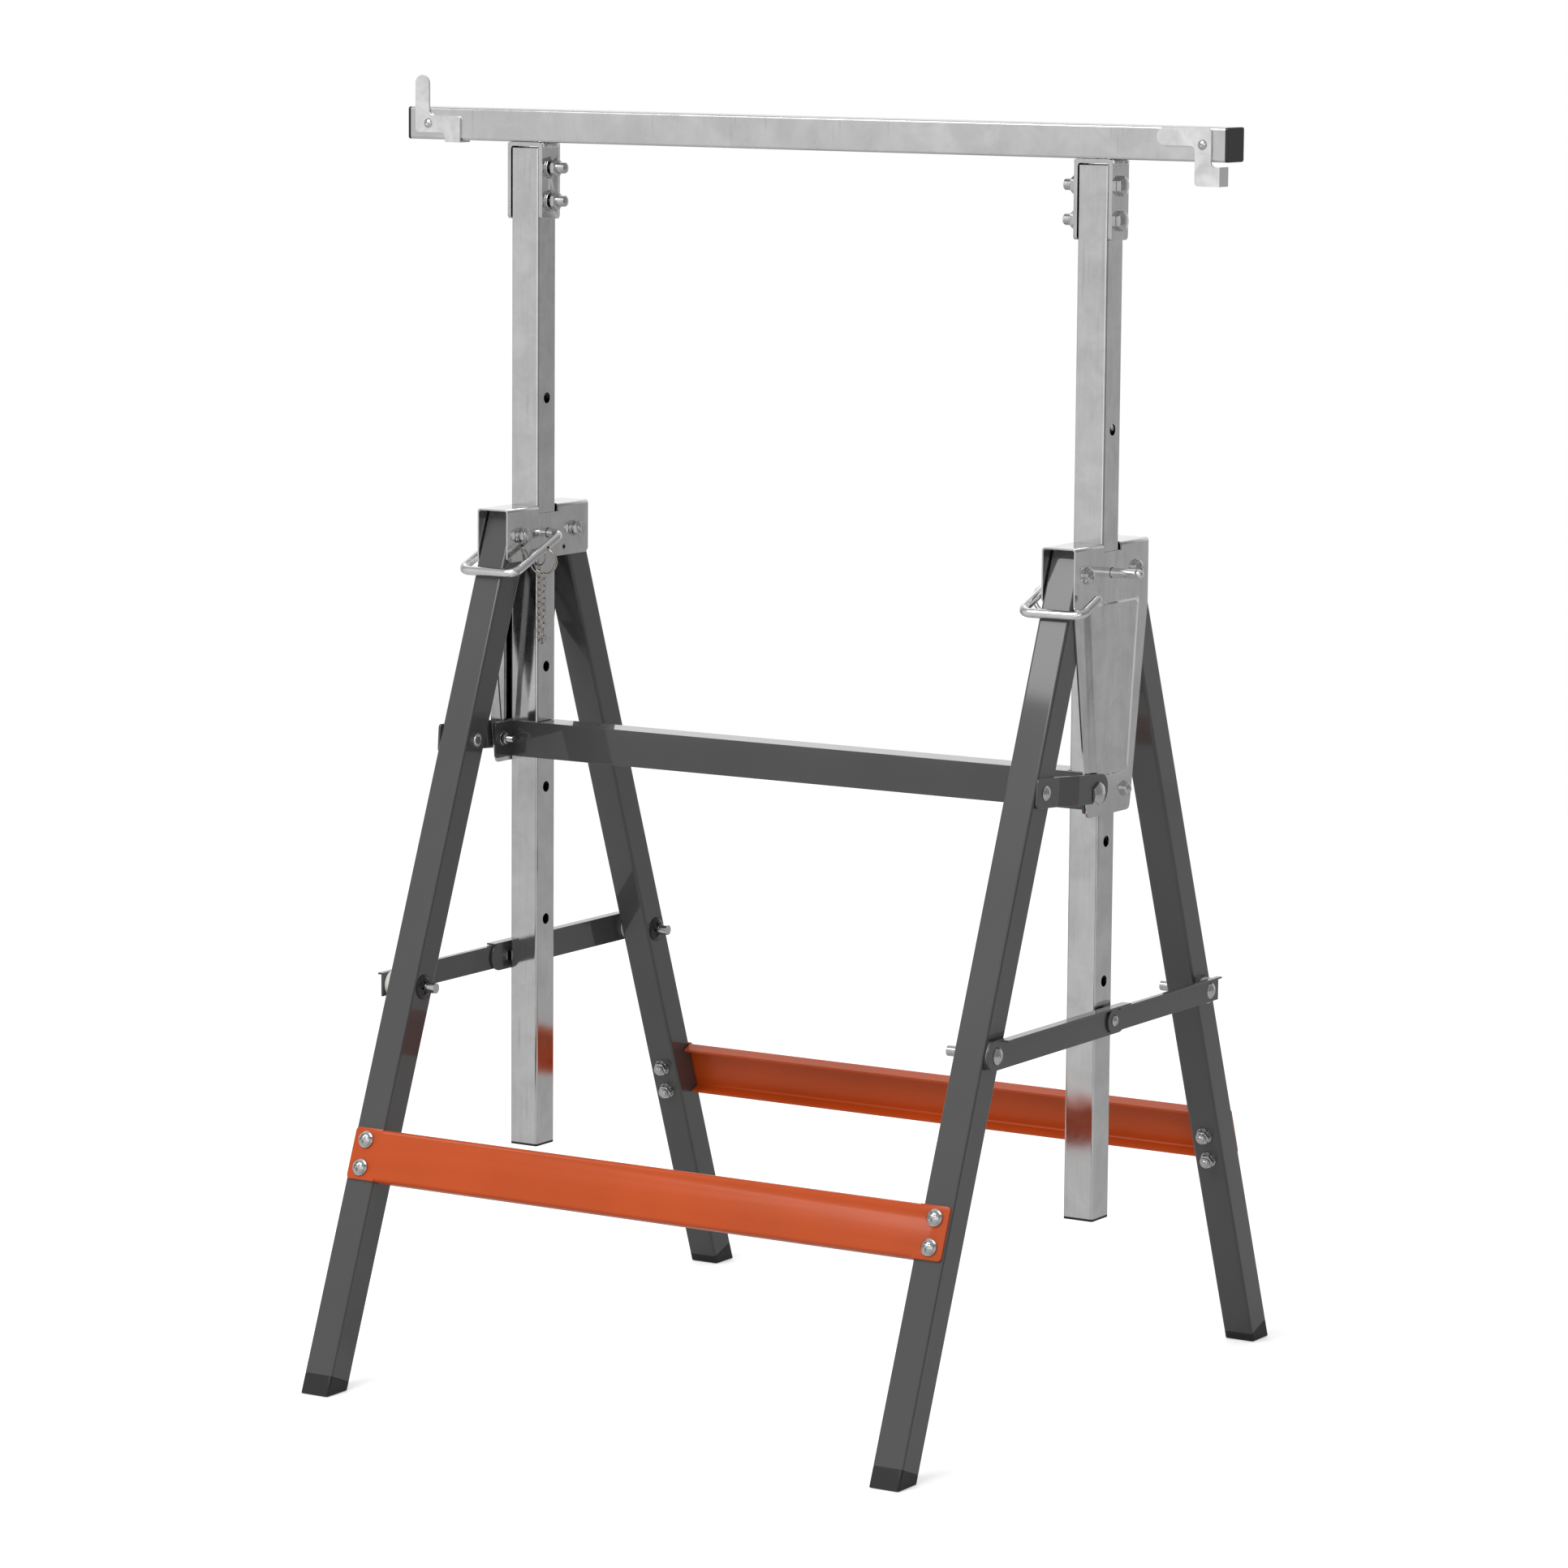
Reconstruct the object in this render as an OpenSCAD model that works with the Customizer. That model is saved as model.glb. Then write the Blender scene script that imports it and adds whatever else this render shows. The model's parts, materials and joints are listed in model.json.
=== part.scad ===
// Builders trestle: a square-tube beam on two telescopic posts, carried by a folding A-frame.
// Millimetres, +Z up, X along the beam, -Y at the front.
// The origin lies on the floor, under the middle of the outline.
// Places in Y are measured from the plane of the posts and then moved by shift_y.

/* [Overall] */
// Distance between the centre lines of the two posts
post_spacing = 500; // [440:5:560]
// Length of the top beam over its end caps
beam_l = 720; // [690:5:800]
// Height of the beam's top face above the floor, as photographed
beam_top_z = 958; // [948:1:978]

/* [Tubes] */
// Outside of every square tube
tube = 25; // [24:0.5:27]
// Wall thickness of the tubes
tube_wall = 1.5; // [1.2:0.1:2]
// Outer corner radius of the tubes
tube_r = 2; // [1.2:0.1:2.4]

/* [Frame] */
// Height of the leg pivots above the floor
pivot_z = 631; // [615:1:640]
// Distance of each leg pivot from the plane of the posts
pivot_y = 37; // [36:0.5:39]
// Splay of the front legs from upright, in degrees
front_splay = 21; // [19:0.5:22]
// Splay of the rear legs from upright, in degrees
rear_splay = 20.1; // [18.6:0.5:21.6]
// Height of the black foot caps, on the outer face of the leg
foot_h = 15; // [12:1:20]
// Thickness of the two orange rails
rail_sheet = 2; // [1.5:0.1:2.5]
// Width of the orange rails, measured along the leg
rail_h = 40; // [36:1:44]
// Height of the rails' middle above the floor, on the legs' outer faces
rail_z = 173.9; // [160:1:190]
// Height of the struts' rivets above the floor
strut_z = 295; // [280:1:305]
// Height of the zinc heads above the pivots
head_rise = 21; // [20:0.5:24]
// Length of the heads' outer cheeks below the pivots
head_drop = 180; // [170:1:186]

/* [Posts] */
// Height of the lower end of the post tubes above the floor
post_bottom_z = 146.4; // [130:0.2:160]
// Spacing of the height holes
hole_pitch = 105; // [100:1:105]
// Spacing of the second and third hole below the locking pin
short_pitch = 95; // [90:1:100]
// Thickness of the zinc heads' sheet
head_sheet = 1.2; // [1:0.1:1.4]

/* [Fasteners] */
// Diameter of the pivot and rail screws
screw_d = 6; // [5.5:0.5:6]
// Diameter of the saddle bolts and of the strut studs
bolt_d = 8; // [7.5:0.5:8]
// Wire diameter of the locking pins
wire_d = 7; // [6:0.5:7]

/* [Hidden] */
$fn = 48;

// Gaps: between seated faces, between separate moving pieces, and all round a turning pin
seat = 0.05;
gap = 0.3;
turn = 0.07;

// Colours as photographed
dark_grey = "#4a4a4a";
orange = "#c05a34";
zinc = "#b5b5b5";
galvanised = "#c2c2c2";
black = "#2b2b2b";
nylon = "#e6e6e2";

// Along X from the middle: the post line and the faces of tubes and heads on it
post_x = post_spacing / 2;
half = tube / 2;
tube_in_x = post_x - half;
tube_out_x = post_x + half;
head_half = half + gap + head_sheet;
head_in_x = post_x - head_half;
head_out_x = post_x + head_half;

// Legs, measured down their own axis from the pivot
leg_over = 15;
foot_plug_l = 18;
function down_outer(z, a) = (pivot_z + half * sin(a) - z) / cos(a);
function down_axis(z, a) = (pivot_z - z) / cos(a);
function reach(a) = pivot_y + half * cos(a) + down_outer(0, a) * sin(a);
shift_y = (reach(front_splay) - reach(rear_splay)) / 2;

// Rails: place of their middle on the legs, and their screws
front_rail_t = down_outer(rail_z, front_splay);
rear_rail_t = down_outer(rail_z, rear_splay);
rail_depth = 12;
rail_screw_pitch = 21.5;
rail_end_x = post_x + 11;
rail_flange_x = tube_in_x - 1;

// Heads
head_top_z = pivot_z + head_rise;
head_y = pivot_y + 19;
head_inner_z = pivot_z - 20;
head_taper_z = pivot_z - 27;
head_low_z = pivot_z - head_drop;
head_low_y = 33;
opening_front = half + 0.5;
opening_back = half + 1.5;
opening_drop = 6;
panel_top_z = pivot_z - 22;
panel_low_z = head_low_z + 29;
panel_top_y = 41;
panel_low_y = 27;
panel_rise = 2;
panel_slope = 6;
panel_r = 6;
pin_z = pivot_z - 0.7;
chain_hole_d = 4;
chain_hole_y = 15;
spare_hole_y = 22;
chain_hole_z = pivot_z - 13.3;

// Cross rail in front of the posts, its tabs, and what is bolted to them
cross_sheet = 1.5;
cross_y = -half - gap - cross_sheet;
cross_low_z = head_low_z + 3.5;
cross_h = 28;
cross_flange = 25;
cross_tab = 21;
latch_bolt_y = -25;
latch_bolt_z = head_low_z + 18.5;
latch_head_flats = 15;
latch_stud_d = 5;
guide_y = 24.5;
guide_z = head_low_z + 16.3;
guide_d = 5;

// Latch plates, in their own frame with the rivet at the origin
latch_z = latch_bolt_z + 8.1;
latch_y = -pivot_y - down_axis(latch_z, front_splay) * sin(front_splay);
latch_slope = -3.9;
latch_sheet = 2;
latch_w = 22;
latch_front = 12.5;
latch_past = 16;
latch_corner = 3;
latch_step_y = 20;
latch_step_l = 24;
latch_step = panel_rise + gap + head_sheet;
slot_r = screw_d / 2 + 0.7;

// Struts: rivets on the legs, and the knee; the long half lies inside the short one
strut_front_y = -pivot_y - down_axis(strut_z, front_splay) * sin(front_splay);
strut_rear_y = pivot_y + down_axis(strut_z, rear_splay) * sin(rear_splay);
strut_sheet = 1.5;
short_half_l = 153.7;
long_half_l = strut_rear_y - strut_front_y - short_half_l;
long_x = tube_out_x + 3.1;
short_x = long_x + strut_sheet + gap;
long_low = -10.5;
long_top = 11.5;
long_front = 15;
long_past = 21;
long_flange = 8;
short_low = -8.5;
short_top = long_top - strut_sheet - gap;
short_end = 12;
short_flange = 4.5;
knee_d = 5;

// Beam, saddles and posts
beam_z = beam_top_z - half;
cap_t = 2.5;
plug_l = 12;
saddle_sheet = 3;
saddle_gap = 0.5;
saddle_half = half + saddle_gap + saddle_sheet;
saddle_top_z = beam_top_z - tube - seat;
saddle_h = 59;
saddle_bolt_z = [saddle_top_z - 19.5, saddle_top_z - 45];
post_top_z = saddle_top_z - saddle_sheet - 1.5;
post_holes = [pin_z + hole_pitch, pin_z, pin_z - hole_pitch, pin_z - hole_pitch - short_pitch,
              pin_z - 2 * hole_pitch - short_pitch];
post_plug_t = 1.8;

// Material stops on the beam, measured from their rivet, u towards the middle and v up
stop_x = beam_l / 2 - 20;
stop_sheet = 1.5;
stop_rivet_d = 5;
stop_out = 12;
stop_in = 1;
stop_arm = 37.2;
stop_low = 7;
stop_high = 6;
stop_short = 30;
stop_tab = 14;
stop_lip = half + gap + stop_sheet;
stop_lip_l = 13.8;

// Locking pins: a wire bent in one plane that slopes down from the shank
pin_hole_d = wire_d + 1;
pin_slope = 21.9;
pin_arm_x = head_in_x - 12.5;
pin_run = 69.7;
pin_stub_x = head_out_x + 10;
pin_stub_l = 30;
pin_tip_x = head_out_x + 26;
pin_bend = 8;
pin_ring_s = 25.5;

// Retaining chains
link_wire = 0.9;
link_in = 5.2;
link_w = 4.6;
link_pitch = link_in - gap;
ring_wire = 1.2;
arm_ring_r = 10;
head_ring_r = 6;
arm_links = 10;
head_links = 11;
bow_links = 4;
bow_draw = 1.45;
// Where the two strands hang, and the height of the bow that joins them
arm_hole = [pin_arm_x, -pin_ring_s * cos(pin_slope), pin_z - pin_ring_s * sin(pin_slope)];
head_ring_x = head_in_x - 1.5;
head_ring_z = chain_hole_z - sqrt(head_ring_r * head_ring_r - 2.1 * 2.1);
head_hang = [head_ring_x, -chain_hole_y, head_ring_z];
bow_r = norm([arm_hole[0] - head_hang[0], arm_hole[1] - head_hang[1]]) / 2 - bow_draw;
bow_heading = atan2(head_hang[1] - arm_hole[1], head_hang[0] - arm_hole[0]);
function first_link(ring_r) = -ring_r + ring_wire / 2 + gap - link_in / 2;
bow_z = head_ring_z + first_link(head_ring_r) - (head_links - 0.5) * link_pitch;

// A square with rounded corners, built from true arcs
module rounded(w, d, r) {
  square([w - 2 * r, d], center = true);
  square([w, d - 2 * r], center = true);
  for (a = [-1, 1], b = [-1, 1]) translate([a * (w / 2 - r), b * (d / 2 - r)]) circle(r);
}

// Section of the square tube
module tube_section() {
  difference() {
    rounded(tube, tube, tube_r);
    rounded(tube - 2 * tube_wall, tube - 2 * tube_wall, 0.6);
  }
}

// Section of a bent channel: its back stands at x = 0 and its flanges reach to x = d
module channel_section(h, d, t, r) {
  module bent(h, r, x0) {
    translate([x0 + r, -h / 2]) square([d - x0 - r, h]);
    translate([x0, -h / 2 + r]) square([d - x0, h - 2 * r]);
    for (b = [-1, 1]) translate([x0 + r, b * (h / 2 - r)]) circle(r);
  }
  difference() {
    bent(h, r, 0);
    translate([t, 0]) bent(h - 2 * t, r - t * 0.6, 0);
  }
}

// The drawing plane's x and y become Y and Z, and the extrusion runs along X
module along_x(l) {
  rotate([90, 0, 90]) translate([0, 0, -l / 2]) linear_extrude(l) children();
}

// A shape turned so that its own +Z points along +X
module to_x() {
  rotate([0, 90, 0]) children();
}

// Through hole along X, long enough for a whole tube or head
module bore_x(d, l = 60) {
  rotate([0, 90, 0]) cylinder(d = d, h = l, center = true);
}

// The right side as drawn, the left side as its mirror image
module sided(side) {
  if (side < 0) mirror([1, 0, 0]) children();
  else children();
}

// From post coordinates to the part's frame
module placed() {
  translate([0, shift_y, 0]) children();
}

// Frame of a leg pair: origin at the pivot, -Z down the leg and -Y out of the trestle
module leg_frame(front, side = 0) {
  a = front > 0 ? front_splay : rear_splay;
  placed() translate([side * post_x, -front * pivot_y, pivot_z])
    rotate([-front * a, 0, 0]) rotate([0, 0, front > 0 ? 0 : 180]) children();
}

// Domed head of diameter d and height h standing on z = 0
module dome(d, h) {
  r = (d * d / 4 + h * h) / (2 * h);
  intersection() {
    cylinder(d = d, h = h + 1);
    translate([0, 0, h - r]) sphere(r);
  }
}

// Pan head with a cross recess
module pan_head(d, h) {
  difference() {
    union() {
      cylinder(d = d, h = h * 0.35);
      translate([0, 0, h * 0.35]) dome(d, h * 0.65);
    }
    for (a = [0, 90]) rotate([0, 0, a]) translate([-d * 0.24, -0.6, h - 1.6]) cube([d * 0.48, 1.2, 3]);
  }
}

// Plain washer
module washer(d, hole, t) {
  difference() {
    cylinder(d = d, h = t);
    translate([0, 0, -1]) cylinder(d = hole, h = t + 2);
  }
}

// Hexagon nut with a locking collar, standing on z = 0
module nut(flats, h, d, collar = 0) {
  difference() {
    union() {
      intersection() {
        cylinder(d = flats / cos(30), h = h, $fn = 6);
        translate([0, 0, h - flats * 1.2]) sphere(flats * 1.2);
        translate([0, 0, flats * 1.2]) sphere(flats * 1.2);
      }
      if (collar > 0) cylinder(d = flats * 0.86, h = h + collar);
    }
    translate([0, 0, -1]) cylinder(d = d + 2 * seat, h = h + collar + 2);
  }
}

// Hexagon head with rounded-off corners, standing on z = 0
module hex_head(flats, h) {
  intersection() {
    cylinder(d = flats / cos(30), h = h, $fn = 6);
    translate([0, 0, h - flats * 1.2]) sphere(flats * 1.2);
  }
}

// Zinc head: inverted channel over both legs, with a long tapered outer cheek
module head(side) {
  cheek_x = head_out_x - head_sheet;
  module panel_block(rise, inset) {
    hull() {
      for (s = [-1, 1]) {
        for (p = [[panel_top_y, panel_top_z - panel_r], [panel_low_y, panel_low_z + panel_r]]) {
          translate([0, s * (p[0] - panel_r), p[1]]) to_x() cylinder(r = panel_r - inset, h = 0.01, $fn = 32);
          translate([0, s * (p[0] - panel_r - panel_slope / 2), p[1]]) to_x()
            cylinder(r = panel_r - inset - panel_slope / 2 + 1.5, h = rise, $fn = 32);
        }
      }
    }
  }
  color(zinc) placed() sided(side) difference() {
    union() {
      translate([post_x, head_y, 0]) rotate([90, 0, 0]) linear_extrude(2 * head_y)
        translate([0, head_top_z]) rotate([0, 0, -90])
          channel_section(2 * head_half, head_top_z - head_inner_z, head_sheet, 2.4);
      translate([cheek_x, 0, 0]) rotate([90, 0, 90]) linear_extrude(head_sheet) {
        polygon([[-head_y, head_top_z - 4], [-head_y, head_taper_z], [-head_low_y, head_low_z + 4],
                 [-head_low_y + 1.2, head_low_z + 1.2], [-head_low_y + 4, head_low_z],
                 [head_low_y - 4, head_low_z], [head_low_y - 1.2, head_low_z + 1.2],
                 [head_low_y, head_low_z + 4], [head_y, head_taper_z], [head_y, head_top_z - 4]]);
      }
      translate([head_out_x, 0, 0]) panel_block(panel_rise, 0);
    }
    translate([head_out_x - head_sheet - 0.01, 0, 0]) panel_block(panel_rise, head_sheet * 0.6);
    translate([post_x - tube, -opening_front, head_top_z - opening_drop])
      cube([2 * tube, opening_front + opening_back, opening_drop + 1]);
    for (s = [-1, 1]) translate([post_x, s * pivot_y, pivot_z]) bore_x(screw_d + 2 * gap);
    translate([post_x, 0, pin_z]) bore_x(pin_hole_d);
    for (y = [-chain_hole_y, spare_hole_y]) translate([head_in_x, y, chain_hole_z]) bore_x(chain_hole_d, 6);
    translate([head_out_x, latch_bolt_y, latch_bolt_z]) bore_x(latch_stud_d + 2 * gap, 8);
    translate([head_out_x, guide_y, guide_z]) bore_x(guide_d + 2 * seat, 8);
    for (s = [-1, 1]) translate([head_in_x - 2, s * head_y, head_inner_z])
      rotate([0, 90, 0]) rotate([0, 0, 45]) cube([4, 4, 8], center = true);
  }
}

// One leg tube with all its holes
module leg(side, front) {
  a = front > 0 ? front_splay : rear_splay;
  cut = down_outer(foot_h, a);
  rail_t = front > 0 ? front_rail_t : rear_rail_t;
  color(dark_grey) leg_frame(front, side) difference() {
    translate([0, 0, -cut]) linear_extrude(cut + leg_over) tube_section();
    bore_x(front > 0 ? screw_d + 2 * gap : screw_d + 2 * turn);
    translate([0, 0, -down_axis(strut_z, a)]) bore_x(bolt_d + 2 * seat);
    if (front > 0) translate([0, 0, -down_axis(latch_z, a)]) bore_x(screw_d + 2 * seat);
    for (s = [-1, 1]) translate([0, 0, -rail_t + s * rail_screw_pitch / 2])
      rotate([90, 0, 0]) cylinder(d = screw_d + 2 * gap, h = tube + 10, center = true);
  }
}

// Black foot cap, cut flat on the floor, with a plug inside the leg
module foot(side, front) {
  a = front > 0 ? front_splay : rear_splay;
  cut = down_outer(foot_h, a);
  color(black) intersection() {
    leg_frame(front, side) {
      translate([0, 0, -cut - tube]) linear_extrude(tube - seat) rounded(tube, tube, tube_r);
      translate([0, 0, -cut - 1]) linear_extrude(foot_plug_l + 1)
        rounded(tube - 2 * tube_wall - 2 * gap, tube - 2 * tube_wall - 2 * gap, 1);
    }
    placed() translate([-beam_l, -beam_l, 0]) cube([2 * beam_l, 2 * beam_l, pivot_z]);
  }
}

// Orange rail on the outer faces of a leg pair; its flanges fit between the legs
module rail(front) {
  rail_t = front > 0 ? front_rail_t : rear_rail_t;
  back = -half - seat - rail_sheet;
  color(orange) leg_frame(front) translate([0, 0, -rail_t]) difference() {
    union() {
      translate([0, back, 0]) along_x(2 * rail_flange_x)
        channel_section(rail_h, rail_depth, rail_sheet, 3);
      intersection() {
        translate([0, back + rail_sheet, 0]) rotate([90, 0, 0]) linear_extrude(rail_sheet)
          rounded(2 * rail_end_x, rail_h, 3);
        union() {
          for (s = [-1, 1]) translate([s * (rail_flange_x + beam_l / 2 - seat), 0, 0])
            cube(beam_l, center = true);
        }
      }
    }
    for (s = [-1, 1], z = [-1, 1]) translate([s * post_x, back, z * rail_screw_pitch / 2])
      rotate([90, 0, 0]) cylinder(d = screw_d + 2 * gap, h = 10, center = true);
  }
}

// The four screws of a rail, with their outer washers
module rail_screws(front) {
  rail_t = front > 0 ? front_rail_t : rear_rail_t;
  face = half + rail_sheet + 2 * seat;
  color(zinc) leg_frame(front)
    for (s = [-1, 1], z = [-1, 1]) translate([s * post_x, 0, -rail_t + z * rail_screw_pitch / 2]) {
      translate([0, -face, 0]) rotate([90, 0, 0]) {
        washer(13, screw_d + 2 * seat, 1.5);
        translate([0, 0, 1.5 + seat]) pan_head(11, 3.9);
        translate([0, 0, -tube - rail_sheet - 9]) cylinder(d = screw_d, h = tube + rail_sheet + 12);
      }
    }
}

// The four locknuts of a rail, with their washers
module rail_nuts(front) {
  rail_t = front > 0 ? front_rail_t : rear_rail_t;
  color(zinc) leg_frame(front)
    for (s = [-1, 1], z = [-1, 1]) translate([s * post_x, half + seat, -rail_t + z * rail_screw_pitch / 2])
      rotate([-90, 0, 0]) {
        washer(12.5, screw_d + 2 * seat, 1.5);
        translate([0, 0, 1.5 + seat]) nut(10, 5, screw_d, 1);
      }
}

// Cross rail: an angle in front of the posts, with a tab bent forward at each end
module cross_rail() {
  end_x = head_out_x - head_sheet - gap;
  color(dark_grey) placed() difference() {
    union() {
      translate([-end_x, cross_y, cross_low_z]) cube([2 * end_x, cross_sheet, cross_h]);
      translate([-rail_flange_x + 1, cross_y, cross_low_z + cross_h - cross_sheet])
        cube([2 * rail_flange_x - 2, cross_flange, cross_sheet]);
      for (s = [-1, 1])
        translate([s * (end_x - cross_sheet / 2), cross_y - cross_tab / 2, cross_low_z + cross_h / 2])
        rotate([90, 0, 90]) linear_extrude(cross_sheet, center = true) {
          rounded(cross_tab, cross_h, 3);
          translate([0, -cross_h / 2]) square([cross_tab / 2 + cross_sheet, cross_h]);
        }
    }
    for (s = [-1, 1]) translate([s * end_x, latch_bolt_y, latch_bolt_z]) bore_x(latch_stud_d + 2 * gap, 8);
  }
}

// Shoulder bolts that the latch plates hook over
module latch_bolts() {
  color(zinc) placed() for (s = [-1, 1]) sided(s)
    translate([head_out_x + seat, latch_bolt_y, latch_bolt_z]) to_x() {
      shoulder = panel_rise + 2 * gap + latch_sheet;
      cylinder(d = screw_d, h = shoulder + 0.5);
      translate([0, 0, shoulder]) hex_head(latch_head_flats, 4);
      translate([0, 0, -13]) cylinder(d = latch_stud_d, h = 14);
    }
}

// Flanged nuts behind the cross rail's tabs
module latch_nuts() {
  end_x = head_out_x - head_sheet - gap - cross_sheet;
  color(zinc) placed() for (s = [-1, 1]) sided(s)
    translate([end_x - seat, latch_bolt_y, latch_bolt_z]) rotate([0, -90, 0]) {
      washer(11.5, latch_stud_d + 2 * seat, 1.2);
      translate([0, 0, 1.2 + seat]) nut(8.5, 3.4, latch_stud_d);
    }
}

// Rivets in the cheeks: their inner ends stop the rear legs as they fold in
module guide_rivets() {
  color(zinc) placed() for (s = [-1, 1]) sided(s) translate([head_out_x, guide_y, guide_z]) to_x() {
    translate([0, 0, seat]) cylinder(d = 11.5, h = 1.1);
    translate([0, 0, 0.5]) cylinder(d = 9, h = 2.5);
    translate([0, 0, 3]) dome(9, 2.4);
    translate([0, 0, -head_sheet - 2]) cylinder(d = guide_d, h = head_sheet + 2.8);
    translate([0, 0, -head_sheet - 3]) cylinder(d = guide_d + 1.5, h = 3 - seat);
  }
}

// Pivot screws of all four legs, with their outer washers
module pivot_screws() {
  color(zinc) placed() for (s = [-1, 1], f = [-1, 1]) sided(s)
    translate([head_out_x + seat, f * pivot_y, pivot_z]) to_x() {
      washer(13, screw_d + 2 * seat, 1.5);
      translate([0, 0, 1.5 + seat]) pan_head(11, 3.6);
      translate([0, 0, -2 * head_half - 8]) cylinder(d = screw_d, h = 2 * head_half + 11);
    }
}

// Locknuts of the pivot screws, with their washers
module pivot_nuts() {
  color(zinc) placed() for (s = [-1, 1], f = [-1, 1]) sided(s)
    translate([head_in_x - seat, f * pivot_y, pivot_z]) rotate([0, -90, 0]) {
      washer(12.5, screw_d + 2 * seat, 1.3);
      translate([0, 0, 1.3 + seat]) nut(10, 5, screw_d, 1);
    }
}

// Rivets that carry the latch plates on the front legs
module latch_rivets() {
  color(zinc) placed() for (s = [-1, 1]) sided(s) translate([post_x, latch_y, latch_z]) {
    outer = half + 2 * gap + latch_sheet;
    to_x() translate([0, 0, -half - 2]) cylinder(d = screw_d, h = half + 2 + outer + 0.5);
    translate([outer, 0, 0]) to_x() dome(11, 2.6);
    translate([-half - seat, 0, 0]) rotate([0, -90, 0]) {
      cylinder(d = 12.4, h = 1.1);
      translate([0, 0, 1.1]) rotate_extrude() translate([3.6, 0]) circle(d = 2.2);
      translate([0, 0, 1]) dome(4, 1);
    }
  }
}

// Studs that carry the struts: the front ones have their heads on the strut,
// the rear ones end just short of it, where the linkage is opened
module strut_studs(front) {
  y = front > 0 ? strut_front_y : strut_rear_y;
  color(zinc) placed() for (s = [-1, 1]) sided(s) translate([0, y, strut_z]) {
    layer = front * s > 0 ? long_x : short_x;
    inner = tube_in_x - 11.5;
    outer = front > 0 ? layer + strut_sheet + gap + 1 : layer - gap;
    translate([inner, 0, 0]) to_x() cylinder(d = bolt_d, h = outer - inner);
    if (front > 0) translate([layer + strut_sheet + gap, 0, 0]) to_x() dome(13, 2.6);
  }
}

// Nylon spacers between the legs and the struts
module strut_spacers(front) {
  y = front > 0 ? strut_front_y : strut_rear_y;
  color(nylon) placed() for (s = [-1, 1]) sided(s) translate([tube_out_x + seat, y, strut_z]) to_x() {
    layer = front * s > 0 ? long_x : short_x;
    washer(20, bolt_d + 2 * seat, layer - gap - tube_out_x - seat);
  }
}

// Dished push nuts on the inner ends of the studs
module push_nuts(front) {
  y = front > 0 ? strut_front_y : strut_rear_y;
  color(dark_grey) placed() for (s = [-1, 1]) sided(s)
    translate([tube_in_x - seat, y, strut_z]) rotate([0, -90, 0]) difference() {
      union() {
        cylinder(d = 19, h = 0.8);
        translate([0, 0, 0.8]) cylinder(d1 = 18, d2 = 11, h = 2.2);
      }
      translate([0, 0, -1]) cylinder(d = bolt_d + 2 * seat, h = 6);
      translate([0, 0, 2.1]) cylinder(d1 = 8, d2 = 10, h = 1);
    }
}

// Latch plate, joggled over the cheek's panel and hooked over the shoulder bolt
module latch(side) {
  bolt = [latch_bolt_y - latch_y, latch_bolt_z - latch_z];
  bolt_u = bolt[0] * cos(latch_slope) + bolt[1] * sin(latch_slope);
  bolt_v = -bolt[0] * sin(latch_slope) + bolt[1] * cos(latch_slope);
  inner = half + gap;
  color(dark_grey) placed() sided(side) translate([post_x, latch_y, latch_z]) rotate([latch_slope, 0, 0])
    difference() {
      intersection() {
        translate([0, 0, -latch_w]) linear_extrude(2 * latch_w)
          polygon([[inner, -40], [inner, latch_step_y], [inner + latch_step, latch_step_y + latch_step_l],
                   [inner + latch_step, 120], [inner + latch_step + latch_sheet, 120],
                   [inner + latch_step + latch_sheet, latch_step_y + latch_step_l - 1],
                   [inner + latch_sheet, latch_step_y - 1], [inner + latch_sheet, -40]]);
        union() {
          translate([0, (bolt_u - latch_front) / 2, 0]) along_x(60)
            rounded(bolt_u + latch_front, latch_w, latch_corner);
          translate([0, bolt_u, 0]) along_x(60) rounded(2 * latch_past, latch_w, latch_w / 2 - 1);
        }
      }
      bore_x(screw_d + 2 * turn);
      translate([0, bolt_u - 0.4, bolt_v - 0.3]) {
        bore_x(2 * slot_r);
        translate([-30, -slot_r, -latch_w]) cube([60, 2 * slot_r, latch_w]);
      }
      for (s = [-1, 1]) translate([0, bolt_u - 0.4 + s * slot_r, -latch_w / 2]) rotate([45, 0, 0])
        cube([60, 2.4, 2.4], center = true);
    }
}

// Half struts in their own frame: leg rivet at the origin, knee along +Y
module long_half(leg_bore, knee_bore) {
  l = long_half_l + long_past + long_front;
  difference() {
    union() {
      translate([long_x + strut_sheet / 2, l / 2 - long_front, (long_top + long_low) / 2])
        along_x(strut_sheet) rounded(l, long_top - long_low, (long_top - long_low) / 2 - 0.1);
      translate([long_x, 4, long_top - strut_sheet])
        cube([long_flange, long_half_l + long_past - 8, strut_sheet]);
    }
    translate([long_x, 0, 0]) bore_x(leg_bore, 8);
    translate([long_x, long_half_l, 0]) bore_x(knee_bore, 8);
  }
}

module short_half(leg_bore, knee_bore) {
  difference() {
    union() {
      translate([short_x + strut_sheet / 2, 0, 0]) along_x(strut_sheet) intersection() {
        union() {
          translate([-short_end, short_low]) square([short_end + short_half_l, short_top - short_low]);
          translate([short_half_l, 0]) circle(short_top);
        }
        translate([-short_end, short_low]) square([short_half_l + 60, 60]);
      }
      translate([short_x, -short_end, short_top - strut_sheet])
        cube([short_flange, short_end + short_half_l - 3, strut_sheet]);
    }
    translate([short_x, 0, 0]) bore_x(leg_bore, 8);
    translate([short_x, short_half_l, 0]) bore_x(knee_bore, 8);
  }
}

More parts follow.
